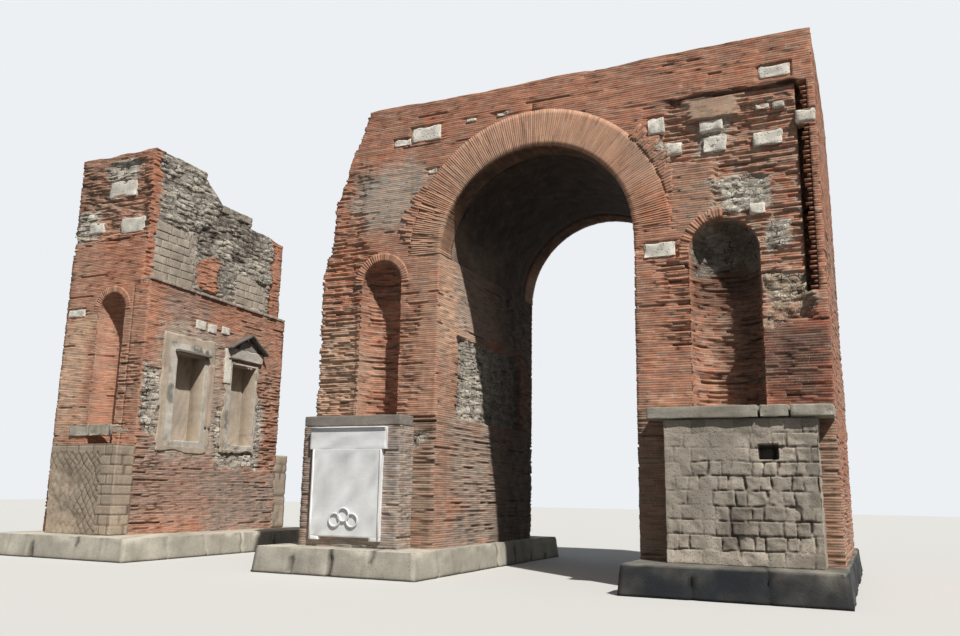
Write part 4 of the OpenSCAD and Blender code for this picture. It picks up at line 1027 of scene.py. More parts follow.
def weather_and_shade_group():
    """Dirt and painted shade on masonry: hollows darker by depth, soot, and dark runs down the wall."""
    tree, given, out = new_group(
        "Weather and shade",
        [("Color", "Color", (0.5, 0.5, 0.5)), ("Depth", "Float", 0.0), ("Soot and shade", "Float", 0.0),
         ("Soot colour", "Color", (0.03, 0.025, 0.02)), ("Runs", "Float", 0.3)],
        [("Color", "Color")])
    where = add(tree, "TexCoord").outputs["Object"]
    long = add(tree, "Mapping", {"Vector": where, "Scale": (1.6, 1.6, 0.22)}).outputs[0]
    runs = maths(tree, "MULTIPLY", stretch(tree, noise(tree, long, 1.7, 6.0, 0.6), 0.52, 0.8), given["Runs"])
    cloud = maths(tree, "MULTIPLY", stretch(tree, noise(tree, where, 0.9, 5.0), 0.5, 0.8), given["Runs"])
    dirty_and_shaded = mixed(tree, runs, given["Color"], (0.12, 0.1, 0.085))
    dirty_and_shaded = mixed(tree, cloud, dirty_and_shaded, (0.3, 0.26, 0.22))
    # Dirt and painted shade: the deeper a place lies in a hollow, the darker it is.
    dirty_and_shaded = mixed(tree, maths(tree, "MULTIPLY", given["Depth"], 0.8), dirty_and_shaded, (0.055, 0.036, 0.028))
    speck = stretch(tree, noise(tree, where, 3.0, 6.0), 0.3, 0.7, 0.65, 1.0)
    # The soot mark also carries painted shade from the nets.
    sooty = maths(tree, "MULTIPLY", given["Soot and shade"], speck, clamp=True)
    tree.links.new(mixed(tree, sooty, dirty_and_shaded, given["Soot colour"]), out["Color"])
    return tree


def use(tree, name, builder, inputs):
    """Places a node group in a material, made once, and gives its outputs."""
    node = tree.nodes.new("ShaderNodeGroup")
    node.node_tree = bpy.data.node_groups.get(name) or builder()
    for key, value in inputs.items():
        plug(tree, node.inputs[key], value)
    return node.outputs


def empty_material(name):
    """A material with only a rough shader, its nodes and the shader."""
    material = bpy.data.materials.new(name)
    material.use_nodes = True
    tree = material.node_tree
    tree.nodes.clear()
    shader = add(tree, "BsdfPrincipled", {"Roughness": 0.9, "Specular IOR Level": 0.2})
    add(tree, "OutputMaterial", {"Surface": shader.outputs[0]})
    return material, tree, shader


def from_net(tree):
    """The net's tone, and its marks: depth, core, soot with painted shade, and lime."""
    tone, marks = [add(tree, "Attribute", attribute_name=name, attribute_type="GEOMETRY")
                   for name in ("tone", "marks")]
    split = add(tree, "SeparateColor", {0: marks.outputs["Color"]}).outputs
    return tone.outputs["Color"], split[0], split[1], split[2], marks.outputs["Alpha"]


def masonry(name, brick=None, runs=0.35, soot=0.0):
    """Brickwork that takes its tone and marks from the wall's net, with bared core where the net says so."""
    if name in bpy.data.materials:
        return bpy.data.materials[name]
    material, tree, shader = empty_material(name)
    tone, depth, bared, sooty, lime = from_net(tree)
    bond = use(tree, "Brick bond", brick_bond_group, {
        "Tone": tone, "Mortar": tint("mortar"), "Course": size("course"), "Length": brick or size("brick"),
        "Joint": 0.0045, "Lime": lime})
    core = use(tree, "Rubble", rubble_group, {"Tone": tone, "Scale": 7.0})
    dirt_and_shade = use(tree, "Weather and shade", weather_and_shade_group, {
        "Color": mixed(tree, bared, bond["Color"], core["Color"]), "Depth": depth,
        "Soot and shade": maths(tree, "ADD", sooty, soot, clamp=True), "Soot colour": tint("soot") * 0.5, "Runs": runs})
    tree.links.new(dirt_and_shade["Color"], shader.inputs["Base Color"])
    height = add(tree, "Mix", {0: bared, 2: bond["Height"], 3: core["Height"]}, data_type="FLOAT")
    bump = add(tree, "Bump", {"Strength": 0.7, "Distance": 0.012, "Height": height.outputs[0]})
    tree.links.new(bump.outputs[0], shader.inputs["Normal"])
    return material


def stonework(name, tone, scale=12.0, pits=0.5, shade=0.5, runs=0.4, roughness=0.85):
    """Stone or plaster: grain under weather and painted shade, lighter and darker as the net says."""
    if name in bpy.data.materials:
        return bpy.data.materials[name]
    material, tree, shader = empty_material(name)
    net, depth, _, sooty, _ = from_net(tree)
    light, dark = (mixed(tree, 1.0, shade_of, net, "MULTIPLY") for shade_of in (tone, tone * shade))
    grain = use(tree, "Stone grain", stone_grain_group, {"Tone": light, "Shade": dark, "Scale": scale,
                                                         "Pits": pits})
    # The soot mark's colour is blue-grey: it also paints shade, the right plinth's shadow and the lost tufa
    # block's hole.
    dirt_and_shade = use(tree, "Weather and shade", weather_and_shade_group, {
        "Color": grain["Color"], "Depth": depth, "Soot and shade": sooty, "Soot colour": (0.022, 0.026, 0.031),
        "Runs": runs})
    tree.links.new(dirt_and_shade["Color"], shader.inputs["Base Color"])
    shader.inputs["Roughness"].default_value = roughness
    bump = add(tree, "Bump", {"Strength": 0.6, "Distance": 0.012, "Height": grain["Height"]})
    tree.links.new(bump.outputs[0], shader.inputs["Normal"])
    return material


def red_brick():
    """The brick of most walls."""
    return masonry("Red brick")


def grey_brick():
    """Brick under lichen, with more runs."""
    return masonry("Grey brick", runs=0.45)


def ring_brick():
    """Longer bricks, laid on edge round the rings."""
    return masonry("Ring brick", RING_BRICK)


def tufa_stone():
    """Brown-grey tufa, full of pits."""
    return stonework("Tufa", tint("tufa"), 9.0, 0.9, 0.55, 0.4)


def limestone():
    """The plinths' and slabs' stone, with dark runs."""
    return stonework("Limestone", tint("limestone"), 6.0, 0.4, 0.55, 0.55)


def white_stone():
    """The single pale blocks, pitted and clean."""
    return stonework("White stone", tint("white"), 7.0, 1.0, 0.7, 0.15)


def lime_plaster():
    """The shrines' plaster."""
    return stonework("Plaster", tint("plaster"), 9.0, 0.5, 0.62, 0.35)


# The operators


class PieceMaker:
    """The settings that all the operators share."""

    bl_options = {"REGISTER", "UNDO"}


# Rows of a plinth's net, in shares of its height, and each plinth's length of stone and its darkening

PLINTH_ROWS = np.array([0, 0.1, 0.22, 0.36, 0.51, 0.65, 0.76, 0.85, 0.92, 0.965, 0.99, 1])
# The right plinth's darkening is dark lichen together with a painted shadow.
PLINTHS = (("right", 1.25, 1.1), ("middle", 1.1, 0.1), ("left", 1.4, 0.05))


class ARCH_OT_plinths(PieceMaker, bpy.types.Operator):
    """The three limestone plinths: battered stones with open joints, chipped along their upper edge."""

    bl_idname = "ruined_arch.plinths"
    bl_label = "Plinths"

    def execute(self, context):
        batter, joint, step = 0.06, 0.014, 0.11
        for side, stone, soot in PLINTHS:
            a, b = corners(side + "_plinth")
            rows = PLINTH_ROWS * b[2]
            inset = batter * rows / b[2]
            places = []
            for k in (0, 1):
                wide = b[k] - a[k] - 2 * batter
                n = max(2, round(wide / stone))
                places.append(a[k] + batter + wide * np.arange(1, n) / n)
            breaks = [[v for j in line for v in (j, j + joint)] for line in places]
            x = columns(rows, a[0] + inset, b[0] - inset, step, breaks[0])
            t = (columns(rows[:1], a[1], b[1], step, breaks[1])[0] - a[1]) / (b[1] - a[1])
            front, rear = (x, 0 * x + (a[1] + inset)[:, None], x), (x, 0 * x + (b[1] - inset)[:, None], x)
            across = plinth_look(places[0], joint, soot, True)
            along = plinth_look(places[1], joint, soot, False)
            skin(side + "_plinth_stones", prism(
                rows, front, rear, t, 1 - t[::-1], [across, along, across, along], bonded=False),
                 [side + "_plinth"], limestone())
        return {"FINISHED"}


class ARCH_OT_lower_piers(PieceMaker, bpy.types.Operator):
    """Brickwork of the two arch piers from the plinths up to the niches' sills."""

    bl_idname = "ruined_arch.lower_piers"
    bl_label = "Lower piers"

    def execute(self, context):
        rows, step = course_rows(PLINTH, SILL), 0.12
        low_look = plain_look("brown", 0.35, 160, 0.15)
        for side, edges, right, left, looks in (
                ("right", [ARCH_R, RIGHT], 24, 20, [low_look, flank_look, low_look, passage_look]),
                ("middle", [MIDDLE, -ARCH_R], 48, 12, [low_look, passage_look, low_look, flank_look])):
            front = face(rows, edges, step)
            skin(side + "_lower_pier_brickwork", prism(rows, front, mirrored(front), right, left, looks),
                 [side + "_lower_pier"], grey_brick())
        return {"FINISHED"}


# The middle pier's broken edge: shares of its width, each at a share of the height

BROKEN_LOW = [(0.0, 0.0), (0.009, 0.297), (0.002, 0.581), (0.0, 0.77), (0.009, 1.0)]
BROKEN_HIGH = [(0.009, 0.0), (0.059, 0.104), (0.086, 0.31), (0.086, 0.463), (0.164, 0.653), (0.241, 0.856),
               (0.304, 1.0)]


def broken_edge(rows, bottom, height, shares, seed=0):
    """The middle pier's broken left edge: a line through shares of its width and height, with each course
    ending a little further in or out."""
    shares = np.array(shares)
    edge = MIDDLE - (ARCH_R + MIDDLE) * np.interp((rows - bottom) / height, shares[:, 1], shares[:, 0])
    row = np.floor((rows - SPRING) / size("course"))
    return edge + 0.05 * chance(row, seed) + 0.03 * chance(np.floor(row / 3), seed + 1)


class ARCH_OT_niche_piers(PieceMaker, bpy.types.Operator):
    """Brickwork of the two arch piers beside their niches, up to the springing."""

    bl_idname = "ruined_arch.niche_piers"
    bl_label = "Niche piers"

    def execute(self, context):
        rear_step = 0.3
        rows = course_rows(SILL, SPRING + SHOULDER * size("course"))
        edges = [ring_edge(rows), RIGHT]
        front = face(rows, edges, None, RIGHT_NICHE, breaks=CHASE_SIDES)
        rear = mirrored(face(rows, edges, rear_step, RIGHT_NICHE))
        skin("right_niche_pier_brickwork", prism(
            rows, front, rear, 26, 18, [front_look, flank_look, rear_look, passage_look]),
            ["right_jamb_pier", "right_niche_pier", "right_corner_pier", "right_passage_band"], red_brick())
        rows = course_rows(SILL, SPRING)
        edges = [broken_edge(rows, SILL, SPRING - SILL, BROKEN_LOW), -ARCH_R]
        front = face(rows, edges, None, MIDDLE_NICHE)
        rear = mirrored(face(rows, edges, rear_step, MIDDLE_NICHE))
        skin("middle_niche_pier_brickwork", prism(
            rows, front, rear, 60, 12, [front_look, passage_look, rear_look, flank_look]),
            ["middle_niche_pier", "middle_passage_band"], red_brick())
        return {"FINISHED"}


def ragged_top(height, fall, seed):
    """A top that dips at random by up to about that fall."""
    def top(x, y):
        """The height less the fall, times a share from smooth noise."""
        return height - fall * np.clip(0.5 + waves(x + 0.3 * y, 0.7 * y, 0.9, seed), 0, 2)
    return top


class ARCH_OT_haunches(PieceMaker, bpy.types.Operator):
    """Brickwork over the springing, each side of the arch, and the attic wall on top."""

    bl_idname = "ruined_arch.haunches"
    bl_label = "Haunches and attic"

    def execute(self, context):
        beside, step, rear_step = RING_R + 0.03, 0.05, 0.25
        rows = course_rows(SPRING + SHOULDER * size("course"), ATTIC)
        edges = [ring_edge(rows), beside, RIGHT]
        front = face(rows, edges, step, breaks=CHASE_SIDES)
        skin("right_haunch_brickwork", prism(
            rows, front, mirrored(face(rows, edges, rear_step)), 26, 2,
            [front_look, flank_look, rear_look, still_look]), ["right_haunch"], red_brick())
        rows = course_rows(SPRING, ATTIC)
        ring = -np.minimum(ring_edge(rows), RING_R - RING_LAP)
        ring[0] = ring[1]
        edges = [broken_edge(rows, SPRING, HAUNCH, BROKEN_HIGH, 4), -beside, ring]
        skin("middle_haunch_brickwork", prism(
            rows, face(rows, edges, step), mirrored(face(rows, edges, rear_step)), 2,
            24, [front_look, still_look, rear_look, flank_look]),
            ["middle_haunch"], grey_brick())
        rows, attic_step, lean = course_rows(ATTIC, TOP), 0.085, 0.063
        row = np.floor((rows - SPRING) / size("course"))
        share = BROKEN_HIGH[-1][0] + lean * (rows - ATTIC) / (TOP - ATTIC)
        edge = MIDDLE - (ARCH_R + MIDDLE) * share + 0.05 * chance(row, 6)
        front = face(rows, [edge, RIGHT], attic_step)
        skin("attic_brickwork", prism(
            rows, front, mirrored(front), 24, 24,
            [front_look, flank_look, rear_look, flank_look], ragged_top(TOP, 0.03, 8), True),
            ["attic_wall"], red_brick())
        return {"FINISHED"}


def arch_band(r0, y0, y1, cells, step, look):
    """A band of the arch: its section, front face, outer side, rear face and soffit, carried round the half
    circle. Each row is the section at one angle; look(brick, bed, r, y, x, z) gives relief, tone, marks.
    Relief moves a face along y, a side along the radius, and a corner along both."""
    count = int(round(np.pi * (r0 + RING_R) / 2 / step))
    part = np.append((np.arange(count)[:, None] + COURSE_LINES).ravel(), count)[:, None]
    lines, corner = 9, 0.7
    radial, deep = np.linspace(r0, RING_R, lines), np.linspace(y0, y1, cells + 1)
    r = np.concatenate([radial, np.full(cells, RING_R), radial[::-1][1:], np.full(cells, r0)])
    y = np.concatenate([np.full(lines, y0), deep[1:], np.full(lines - 1, y1), deep[::-1][1:]])
    flat, side = np.zeros(lines - 2), np.ones(cells - 1)
    out_r = np.concatenate([[-corner], flat, [corner], side, [corner], flat, [-corner], -side, [-corner]])
    out_y = np.concatenate([-np.ones(lines), 0 * side, np.ones(lines), 0 * side, [-1]])
    a = np.pi * part / count
    brick, bed = np.floor(part), np.abs(part - np.round(part)) < BED
    relief, tone, marks = look(brick, bed, r + 0 * a, y + 0 * a, r * np.cos(a), SPRING + r * np.sin(a))
    radius = r + out_r * relief
    points = np.stack([radius * np.cos(a), y + out_y * relief,
                       np.maximum(SPRING + radius * np.sin(a), SPRING)], axis=-1)
    along = r - ARCH_R + np.abs(y - y0) + RING_BRICK / 2 * (brick % 2)
    uv = np.stack(np.broadcast_arrays(along, (part + BED) * size("course")), axis=-1)
    net = (points, uv, tone, marks)
    return [net, end_cap(net, 0), end_cap(net, -1)]


def end_cap(net, end):
    """Closes one end of a tube: its outline, drawn in to its own middle."""
    points, uv, tone, marks = (a[end] for a in net)
    middle = np.broadcast_to(points.mean(axis=0), points.shape)
    pair = [middle, points] if end == 0 else [points, middle]
    return np.stack(pair), np.stack([uv, uv]), np.stack([tone, tone]), np.stack([marks, marks])


def ring_look(y0, y1, seed):
    """Bricks on edge in two rings, in and out by turns, pale pink, redder and worn at the shoulders."""
    def look(brick, bed, r, y, x, z):
        """Each half brick by its own chance, worn and redder in zones, painted shade on the inner side."""
        half = np.floor((r - ARCH_R) / RING_BRICK + 0.5 * (brick % 2))
        worn = raised(0.15, WORN_RING, x, z)
        relief = 0.012 - 0.05 * worn * chance(brick, half, seed) ** 2 - np.where(bed, 0.008 + 0.02 * worn, 0)
        tone = blend(even(x, tint("pink")), tint("red"), 0.5 * ramp(waves(x, z, 1.2, seed), 0, 0.9))
        tone = blend(tone, tint("orange"), 0.6 * within(x, z, ORANGE_RING, 0.2, 0.2))
        tone = tone * (0.78 + 0.42 * chance(brick, half, seed + 1))[..., None]
        # Painted shade on the ring's soffit, carried by the soot mark: high up and along the right half.
        inner = (r < ARCH_R + 0.01) * ramp(y - y0 if y0 < DEPTH / 2 else y1 - y, 0.0, 0.12)
        inner = inner * np.maximum(ramp(z, 7.4, 8.6), x > 0)
        # Worn bricks are marked darker the further back they lie: painted shade.
        return relief, tone, marks_of(np.clip(-relief / 0.06, 0, 1) * 0.7, 0, 0.92 * inner, 0.25)
    return look


def vault_look(brick, bed, r, y, x, z):
    """The soffit of the vault: rough sooty mortar and brick, with painted shade high up and further in."""
    rough = waves(y, np.arctan2(z - SPRING, x) * ARCH_R, 0.5, 71)
    tone = blend(even(x, tint("brown")), tint("grey"), 0.5 + 0.4 * rough)
    # Soot with painted shade: darker up from the springing, all along the right half and further in.
    upper = np.maximum(ramp(z + 0.3 * rough, SPRING + 0.1, SPRING + 1.3), x > 0)
    tone = tone * (0.95 - 0.35 * upper)[..., None]
    soot = np.maximum(0.92 * upper, 0.2 + 0.65 * ramp(y, 2.0, 4.2))
    return 0.01 * rough - 0.004 * bed, tone, marks_of(0.2 - 0.3 * rough, 0.5 * upper, soot, 0.3)


def short_bricks(middle, spring, inner, outer, start, end, seed, tone, out=0.022):
    """Short bricks on edge, standing a little out of the wall: a section carried round a head from one
    angle to another, in degrees, out to one radius or to one for each brick. The section starts behind the
    wall, comes out to its face, crosses it and goes back."""
    wide = NICHE_RING / 3
    count = int(round(math.radians(end - start) * (inner + 0.1) / wide))
    part = np.append((np.arange(count)[:, None] + FAN_LINES).ravel(), count)[:, None]
    a = math.radians(start) + math.radians(end - start) * part / count
    brick, bed = np.floor(part), np.abs(part - np.round(part)) < BED
    reach = outer(brick) if callable(outer) else outer + 0 * brick
    share = np.array([0, 0, 0, 0.25, 0.5, 0.75, 1, 1, 1, 0])
    r = inner + (reach - inner) * share
    y = np.array([0.14, 0.06, 0.0, 0.0, 0.0, 0.0, 0.0, 0.06, 0.14, 0.14])
    out_y = np.array([0, 0, -1, -1, -1, -1, -1, 0, 0, 0.0])
    relief = out - 0.02 * chance(brick, seed, 3) - np.where(bed, 0.018, 0) + 0 * r
    x, z = middle + r * np.cos(a), spring + r * np.sin(a)
    points = np.stack(np.broadcast_arrays(x, y + out_y * relief, z), axis=-1)
    uv = np.stack(np.broadcast_arrays(r - inner + 0.1 + y, (part + BED) * size("course")), axis=-1)
    tones = even(relief, tone) * (0.72 + 0.42 * chance(brick, seed, 5))[..., None]
    # Beds and bricks set further back are marked darker: dark joints, and painted shade.
    net = (points, uv, tones, marks_of(np.clip(0.5 - relief / 0.03, 0, 1) * 0.7, 0, 0, 0.3))
    return [net, end_cap(net, 0), end_cap(net, -1)]


def niche_ring(niche, start, end, seed):
    """The short bricks over a niche: a band of one brick's width round its head."""
    middle, radius, spring = niche
    tone = blend(tint("pink"), tint("orange"), 0.35)
    return short_bricks(middle, spring, radius - 0.004, radius + NICHE_RING, start, end, seed, tone)


class ARCH_OT_rings(PieceMaker, bpy.types.Operator):
    """The arch rings at the front and the rear, the vault between them and the rings of the niches."""

    bl_idname = "ruined_arch.rings"
    bl_label = "Arch rings and vault"

    def execute(self, context):
        course, vault_lap = size("course"), 0.015
        for end, y0, y1, seed in (("front", 0.0, RING_DEEP, 200), ("rear", DEPTH - RING_DEEP, DEPTH, 210)):
            skin(end + "_arch_ring_bricks", arch_band(ARCH_R, y0, y1, 6, course, ring_look(y0, y1, seed)),
                 [end + "_arch_ring"], ring_brick())
        skin("barrel_vault_soffit",
             arch_band(ARCH_R + vault_lap, RING_DEEP, DEPTH - RING_DEEP, 16, course, vault_look),
             ["barrel_vault"], masonry("Sooty brick", soot=0.1))
        niches = (("right", RIGHT_NICHE, 90), ("middle", MIDDLE_NICHE, 0), ("left", LEFT_NICHE, 0))
        for side, niche, start in niches:
            nets = niche_ring(niche, start, 180, 5) + at_the_rear(niche_ring(niche, 0, 180, 6))
            skin(side + "_niche_ring_bricks", nets, [side + "_niche_ring"], ring_brick())

        def reach(brick):
            """A fan's outer radius at each brick: a chance for each, times a sine along the fan."""
            return RING_R + 0.1 + 0.3 * chance(brick, 9) * np.sin(np.pi * (brick + 4) / 42)

        tone, nets = blend(tint("pink"), tint("red"), 0.6), []
        for start, end, seed in ((14, 44, 31), (148, 174, 32)):
            nets += short_bricks(0.0, SPRING, RING_R - 0.03, reach, start, end, seed, tone, 0.034)
        skin("shoulder_fans", nets, ["front_arch_ring"], ring_brick())
        return {"FINISHED"}


class ARCH_OT_teeth(PieceMaker, bpy.types.Operator):
    """The strip at the right corner: every second course stands into the chase as a tooth."""

    bl_idname = "ruined_arch.teeth"
    bl_label = "Toothed strip"

    def execute(self, context):
        a, b = corners("toothed_brick_strip")
        course, inset, deep, tall, rooted = size("course"), 0.015, 0.11, 0.04, 0.085
        nets = []
        for k in range(int((b[2] - a[2]) / (2 * course))):
            z = a[2] + course * (2 * k + 0.5)
            short, red = 0.07 * chance(k, 3) ** 2, 0.7 + 0.5 * chance(k, 5)
            nets += chipped((a[0] + short, inset, z), (b[0] - rooted, inset + deep, z + tall), cells=2,
                            round_by=0.006, rough=0.003, seed=k, tone=tint("red") * red)
        skin("toothed_strip_bricks", nets, ["toothed_brick_strip"], red_brick())
        return {"FINISHED"}


class ARCH_OT_stone_blocks(PieceMaker, bpy.types.Operator):
    """Single blocks of white limestone that are left in the fronts."""

    bl_idname = "ruined_arch.stone_blocks"
    bl_label = "Stone blocks"

    def execute(self, context):
        for side in ("right", "middle", "left"):
            nets = []
            for k, (a, b) in enumerate(islands(side + "_stone_blocks")):
                nets += chipped(a, b, cells=9, round_by=0.05, rough=0.03, seed=3 * k,
                                tone=0.92 + 0.15 * chance(k, 2))
            skin(side + "_stone_block_faces", nets, [side + "_stone_blocks"], white_stone())
        return {"FINISHED"}


class ARCH_OT_pedestals(PieceMaker, bpy.types.Operator):
    """The three pedestals with their caps: squared tufa, brick under a grey band, and a diagonal net."""

    bl_idname = "ruined_arch.pedestals"
    bl_label = "Pedestals"

    def execute(self, context):
        coarser, lap = 2.5, 0.06
        for side, look, step, material, slot in (
                ("right", tufa_look, 0.02, tufa_stone(), "tufa"),
                ("middle", band_look, 0.1, grey_brick(), "grey_brick"),
                ("left", diagonal_look, 0.026, tufa_stone(), "tufa")):
            a, b = sorted(islands(side + "_pedestal"), key=lambda box: box[0][1])[0]
            both = []
            for share in (1, coarser):
                rows = course_rows(a[2], b[2])
                if side != "middle":
                    rows = np.linspace(a[2], b[2], int((b[2] - a[2]) / (step * share)))
                front = face(rows, [a[0], b[0]], step * share, y=a[1])
                rear = face(rows, [a[0], b[0]], 0.5, y=b[1] + lap)
                both.append(prism(rows, front, rear, 8, 8, [look, look, still_look, look],
                                  bonded=side == "middle"))
            nets = both[0] + at_the_rear(both[1])
            skin(side + "_pedestal_face", nets, [side + "_pedestal"], material)
        cement = stonework("Grey band", tint("cement"), 8.0, 0.4)
        for node, name, material, slot, rough, tone in (
                ("right_pedestal_cap", "right_cap_slabs", limestone(), "limestone", 0.018, 0.72),
                ("middle_pedestal_cap", "middle_cap_band", cement, "plaster", 0.014, 1.0),
                ("left_sill_slab", "left_sill_slabs", limestone(), "limestone", 0.03, 0.85)):
            nets = []
            for k, (a, b) in enumerate(islands(node)):
                nets += chipped(a, b, cells=10, round_by=0.03, rough=rough, seed=5 * k, tone=tone)
            skin(name, nets, [node], material)
        return {"FINISHED"}


class ARCH_OT_tablet(PieceMaker, bpy.types.Operator):
    """The white marble tablet with its eared head, moulding and feet, and the three laurel rings."""

    bl_idname = "ruined_arch.tablet"
    bl_label = "Marble tablet"

    def execute(self, context):
        a, b = corners("marble_tablet")
        ear, face_y, neck, back = 0.09, -0.67, b[2] - 0.49, b[1] + 0.03
        foot_wide, foot_high, edge_wide, lap, strip = 0.25, 0.09, 0.04, 0.02, 0.03
        slab, edging = dict(cells=10, round_by=0.006, rough=0.002), dict(round_by=0.008, rough=0.001)
        nets = chipped((a[0] + ear, face_y, a[2] + foot_high - lap), (b[0] - ear, back, neck + strip),
                       seed=1, **slab)
        nets += chipped((a[0], face_y, neck), (b[0], back, b[2]), seed=2, **slab)
        for x in (a[0] + ear, b[0] - ear - foot_wide):
            nets += chipped((x, face_y, a[2]), (x + foot_wide, back, a[2] + foot_high), 3, 0.006, 0.001, 3)
        for x in (a[0] + ear, b[0] - ear - edge_wide):
            nets += chipped((x, face_y - 0.018, a[2] + lap), (x + edge_wide, face_y + lap, neck), cells=3,
                            seed=4, **edging)
        for drop, out in ((0.0, 0.0), (0.03, 0.018), (0.052, 0.032)):
            nets += chipped((a[0], a[1] + out, b[2] - drop - strip), (b[0], face_y + lap, b[2] - drop),
                            cells=4, seed=5, **edging)
        marble = stonework("Marble", tint("marble"), 4.0, 0.06, 0.9, 0.06, 0.6)
        skin("marble_tablet_face", nets, ["marble_tablet"], marble)
        skin("laurel_leaves", self.laurels(*corners("laurel_rings")), ["laurel_rings"], marble)
        return {"FINISHED"}

    def laurels(self, a, b):
        """Three rings, the middle one higher: a tube round a circle, whose thickness swells and shrinks by a
        zigzag of the turn, slanted along the tube's own turn, so that leaves show."""
        band, wide, leaves, slant = 0.022, 0.138, 16, 1.4
        turn, round_it = np.linspace(0, 2 * np.pi, 121)[:, None], np.linspace(0, 2 * np.pi, 13)
        leaf = np.abs(((turn * leaves / np.pi + np.abs(round_it / np.pi - 1) * slant) % 1) - 0.5) * 2
        thick = band * (0.72 + 0.28 * leaf)
        r, y = wide + thick * np.cos(round_it), (a[1] + b[1]) / 2 - thick * np.sin(round_it)
        nets = []
        for k in range(3):
            middle = a[0] + wide + band + k * (b[0] - a[0] - 2 * wide - 2 * band) / 2
            height = a[2] + wide + band + (b[2] - a[2] - 2 * wide - 2 * band) * (k == 1)
            x, z = middle + r * np.cos(turn), height + r * np.sin(turn)
            p = np.stack(np.broadcast_arrays(x, y, z), axis=-1)
            # Painted shade between the leaves, where the tube is thinnest.
            nets.append(turned((p, p[..., :2], even(leaf, 0.85), marks_of(0.3 - 0.3 * leaf, 0, 0, 0))))
        return nets


# The steps of the left pier's top: shares of its depth, each with a share of its height over the ledge

LEFT_STEPS = np.array([(0, 0), (0.349, 0), (0.3492, -0.048), (0.48, -0.209), (0.72, -0.209), (0.7202, -0.299),
                       (1, -0.342)])


def left_top(x, y):
    """The left pier's stepped top, in shares of its depth and of its height over the ledge, a little
    ragged."""
    line = LEFT_TOP - 0.006 + UPPER * np.interp(y / DEPTH, LEFT_STEPS[:, 0], LEFT_STEPS[:, 1])
    return line - 0.05 * np.clip(0.4 + waves(x, y, 0.6, 17), 0, 2)


def block_courses(y0, y1, z0, z1, tall, long, seed):
    """Corners (y, z) of squared blocks in courses over a patch: each block has its own length, and every
    course starts at random. Higher courses end sooner."""
    found, joint, least = [], 0.005, 0.12
    for k in range(int((z1 - z0) / tall + 0.5)):
        lengths = long * (0.65 + 0.7 * chance(np.arange(30), k, seed))
        ends = y0 + np.cumsum(lengths) - long * chance(k, seed)
        last = y1 - 0.8 * (k * tall / (z1 - z0)) ** 2 - 0.15 * chance(k, seed, 5)
        ends = [y0, *ends[(ends > y0 + least) & (ends < last - least)], last]
        found += [((a + joint, z0 + k * tall + joint), (b - joint, z0 + (k + 1) * tall - joint))
                  for a, b in zip(ends, ends[1:])]
    return found


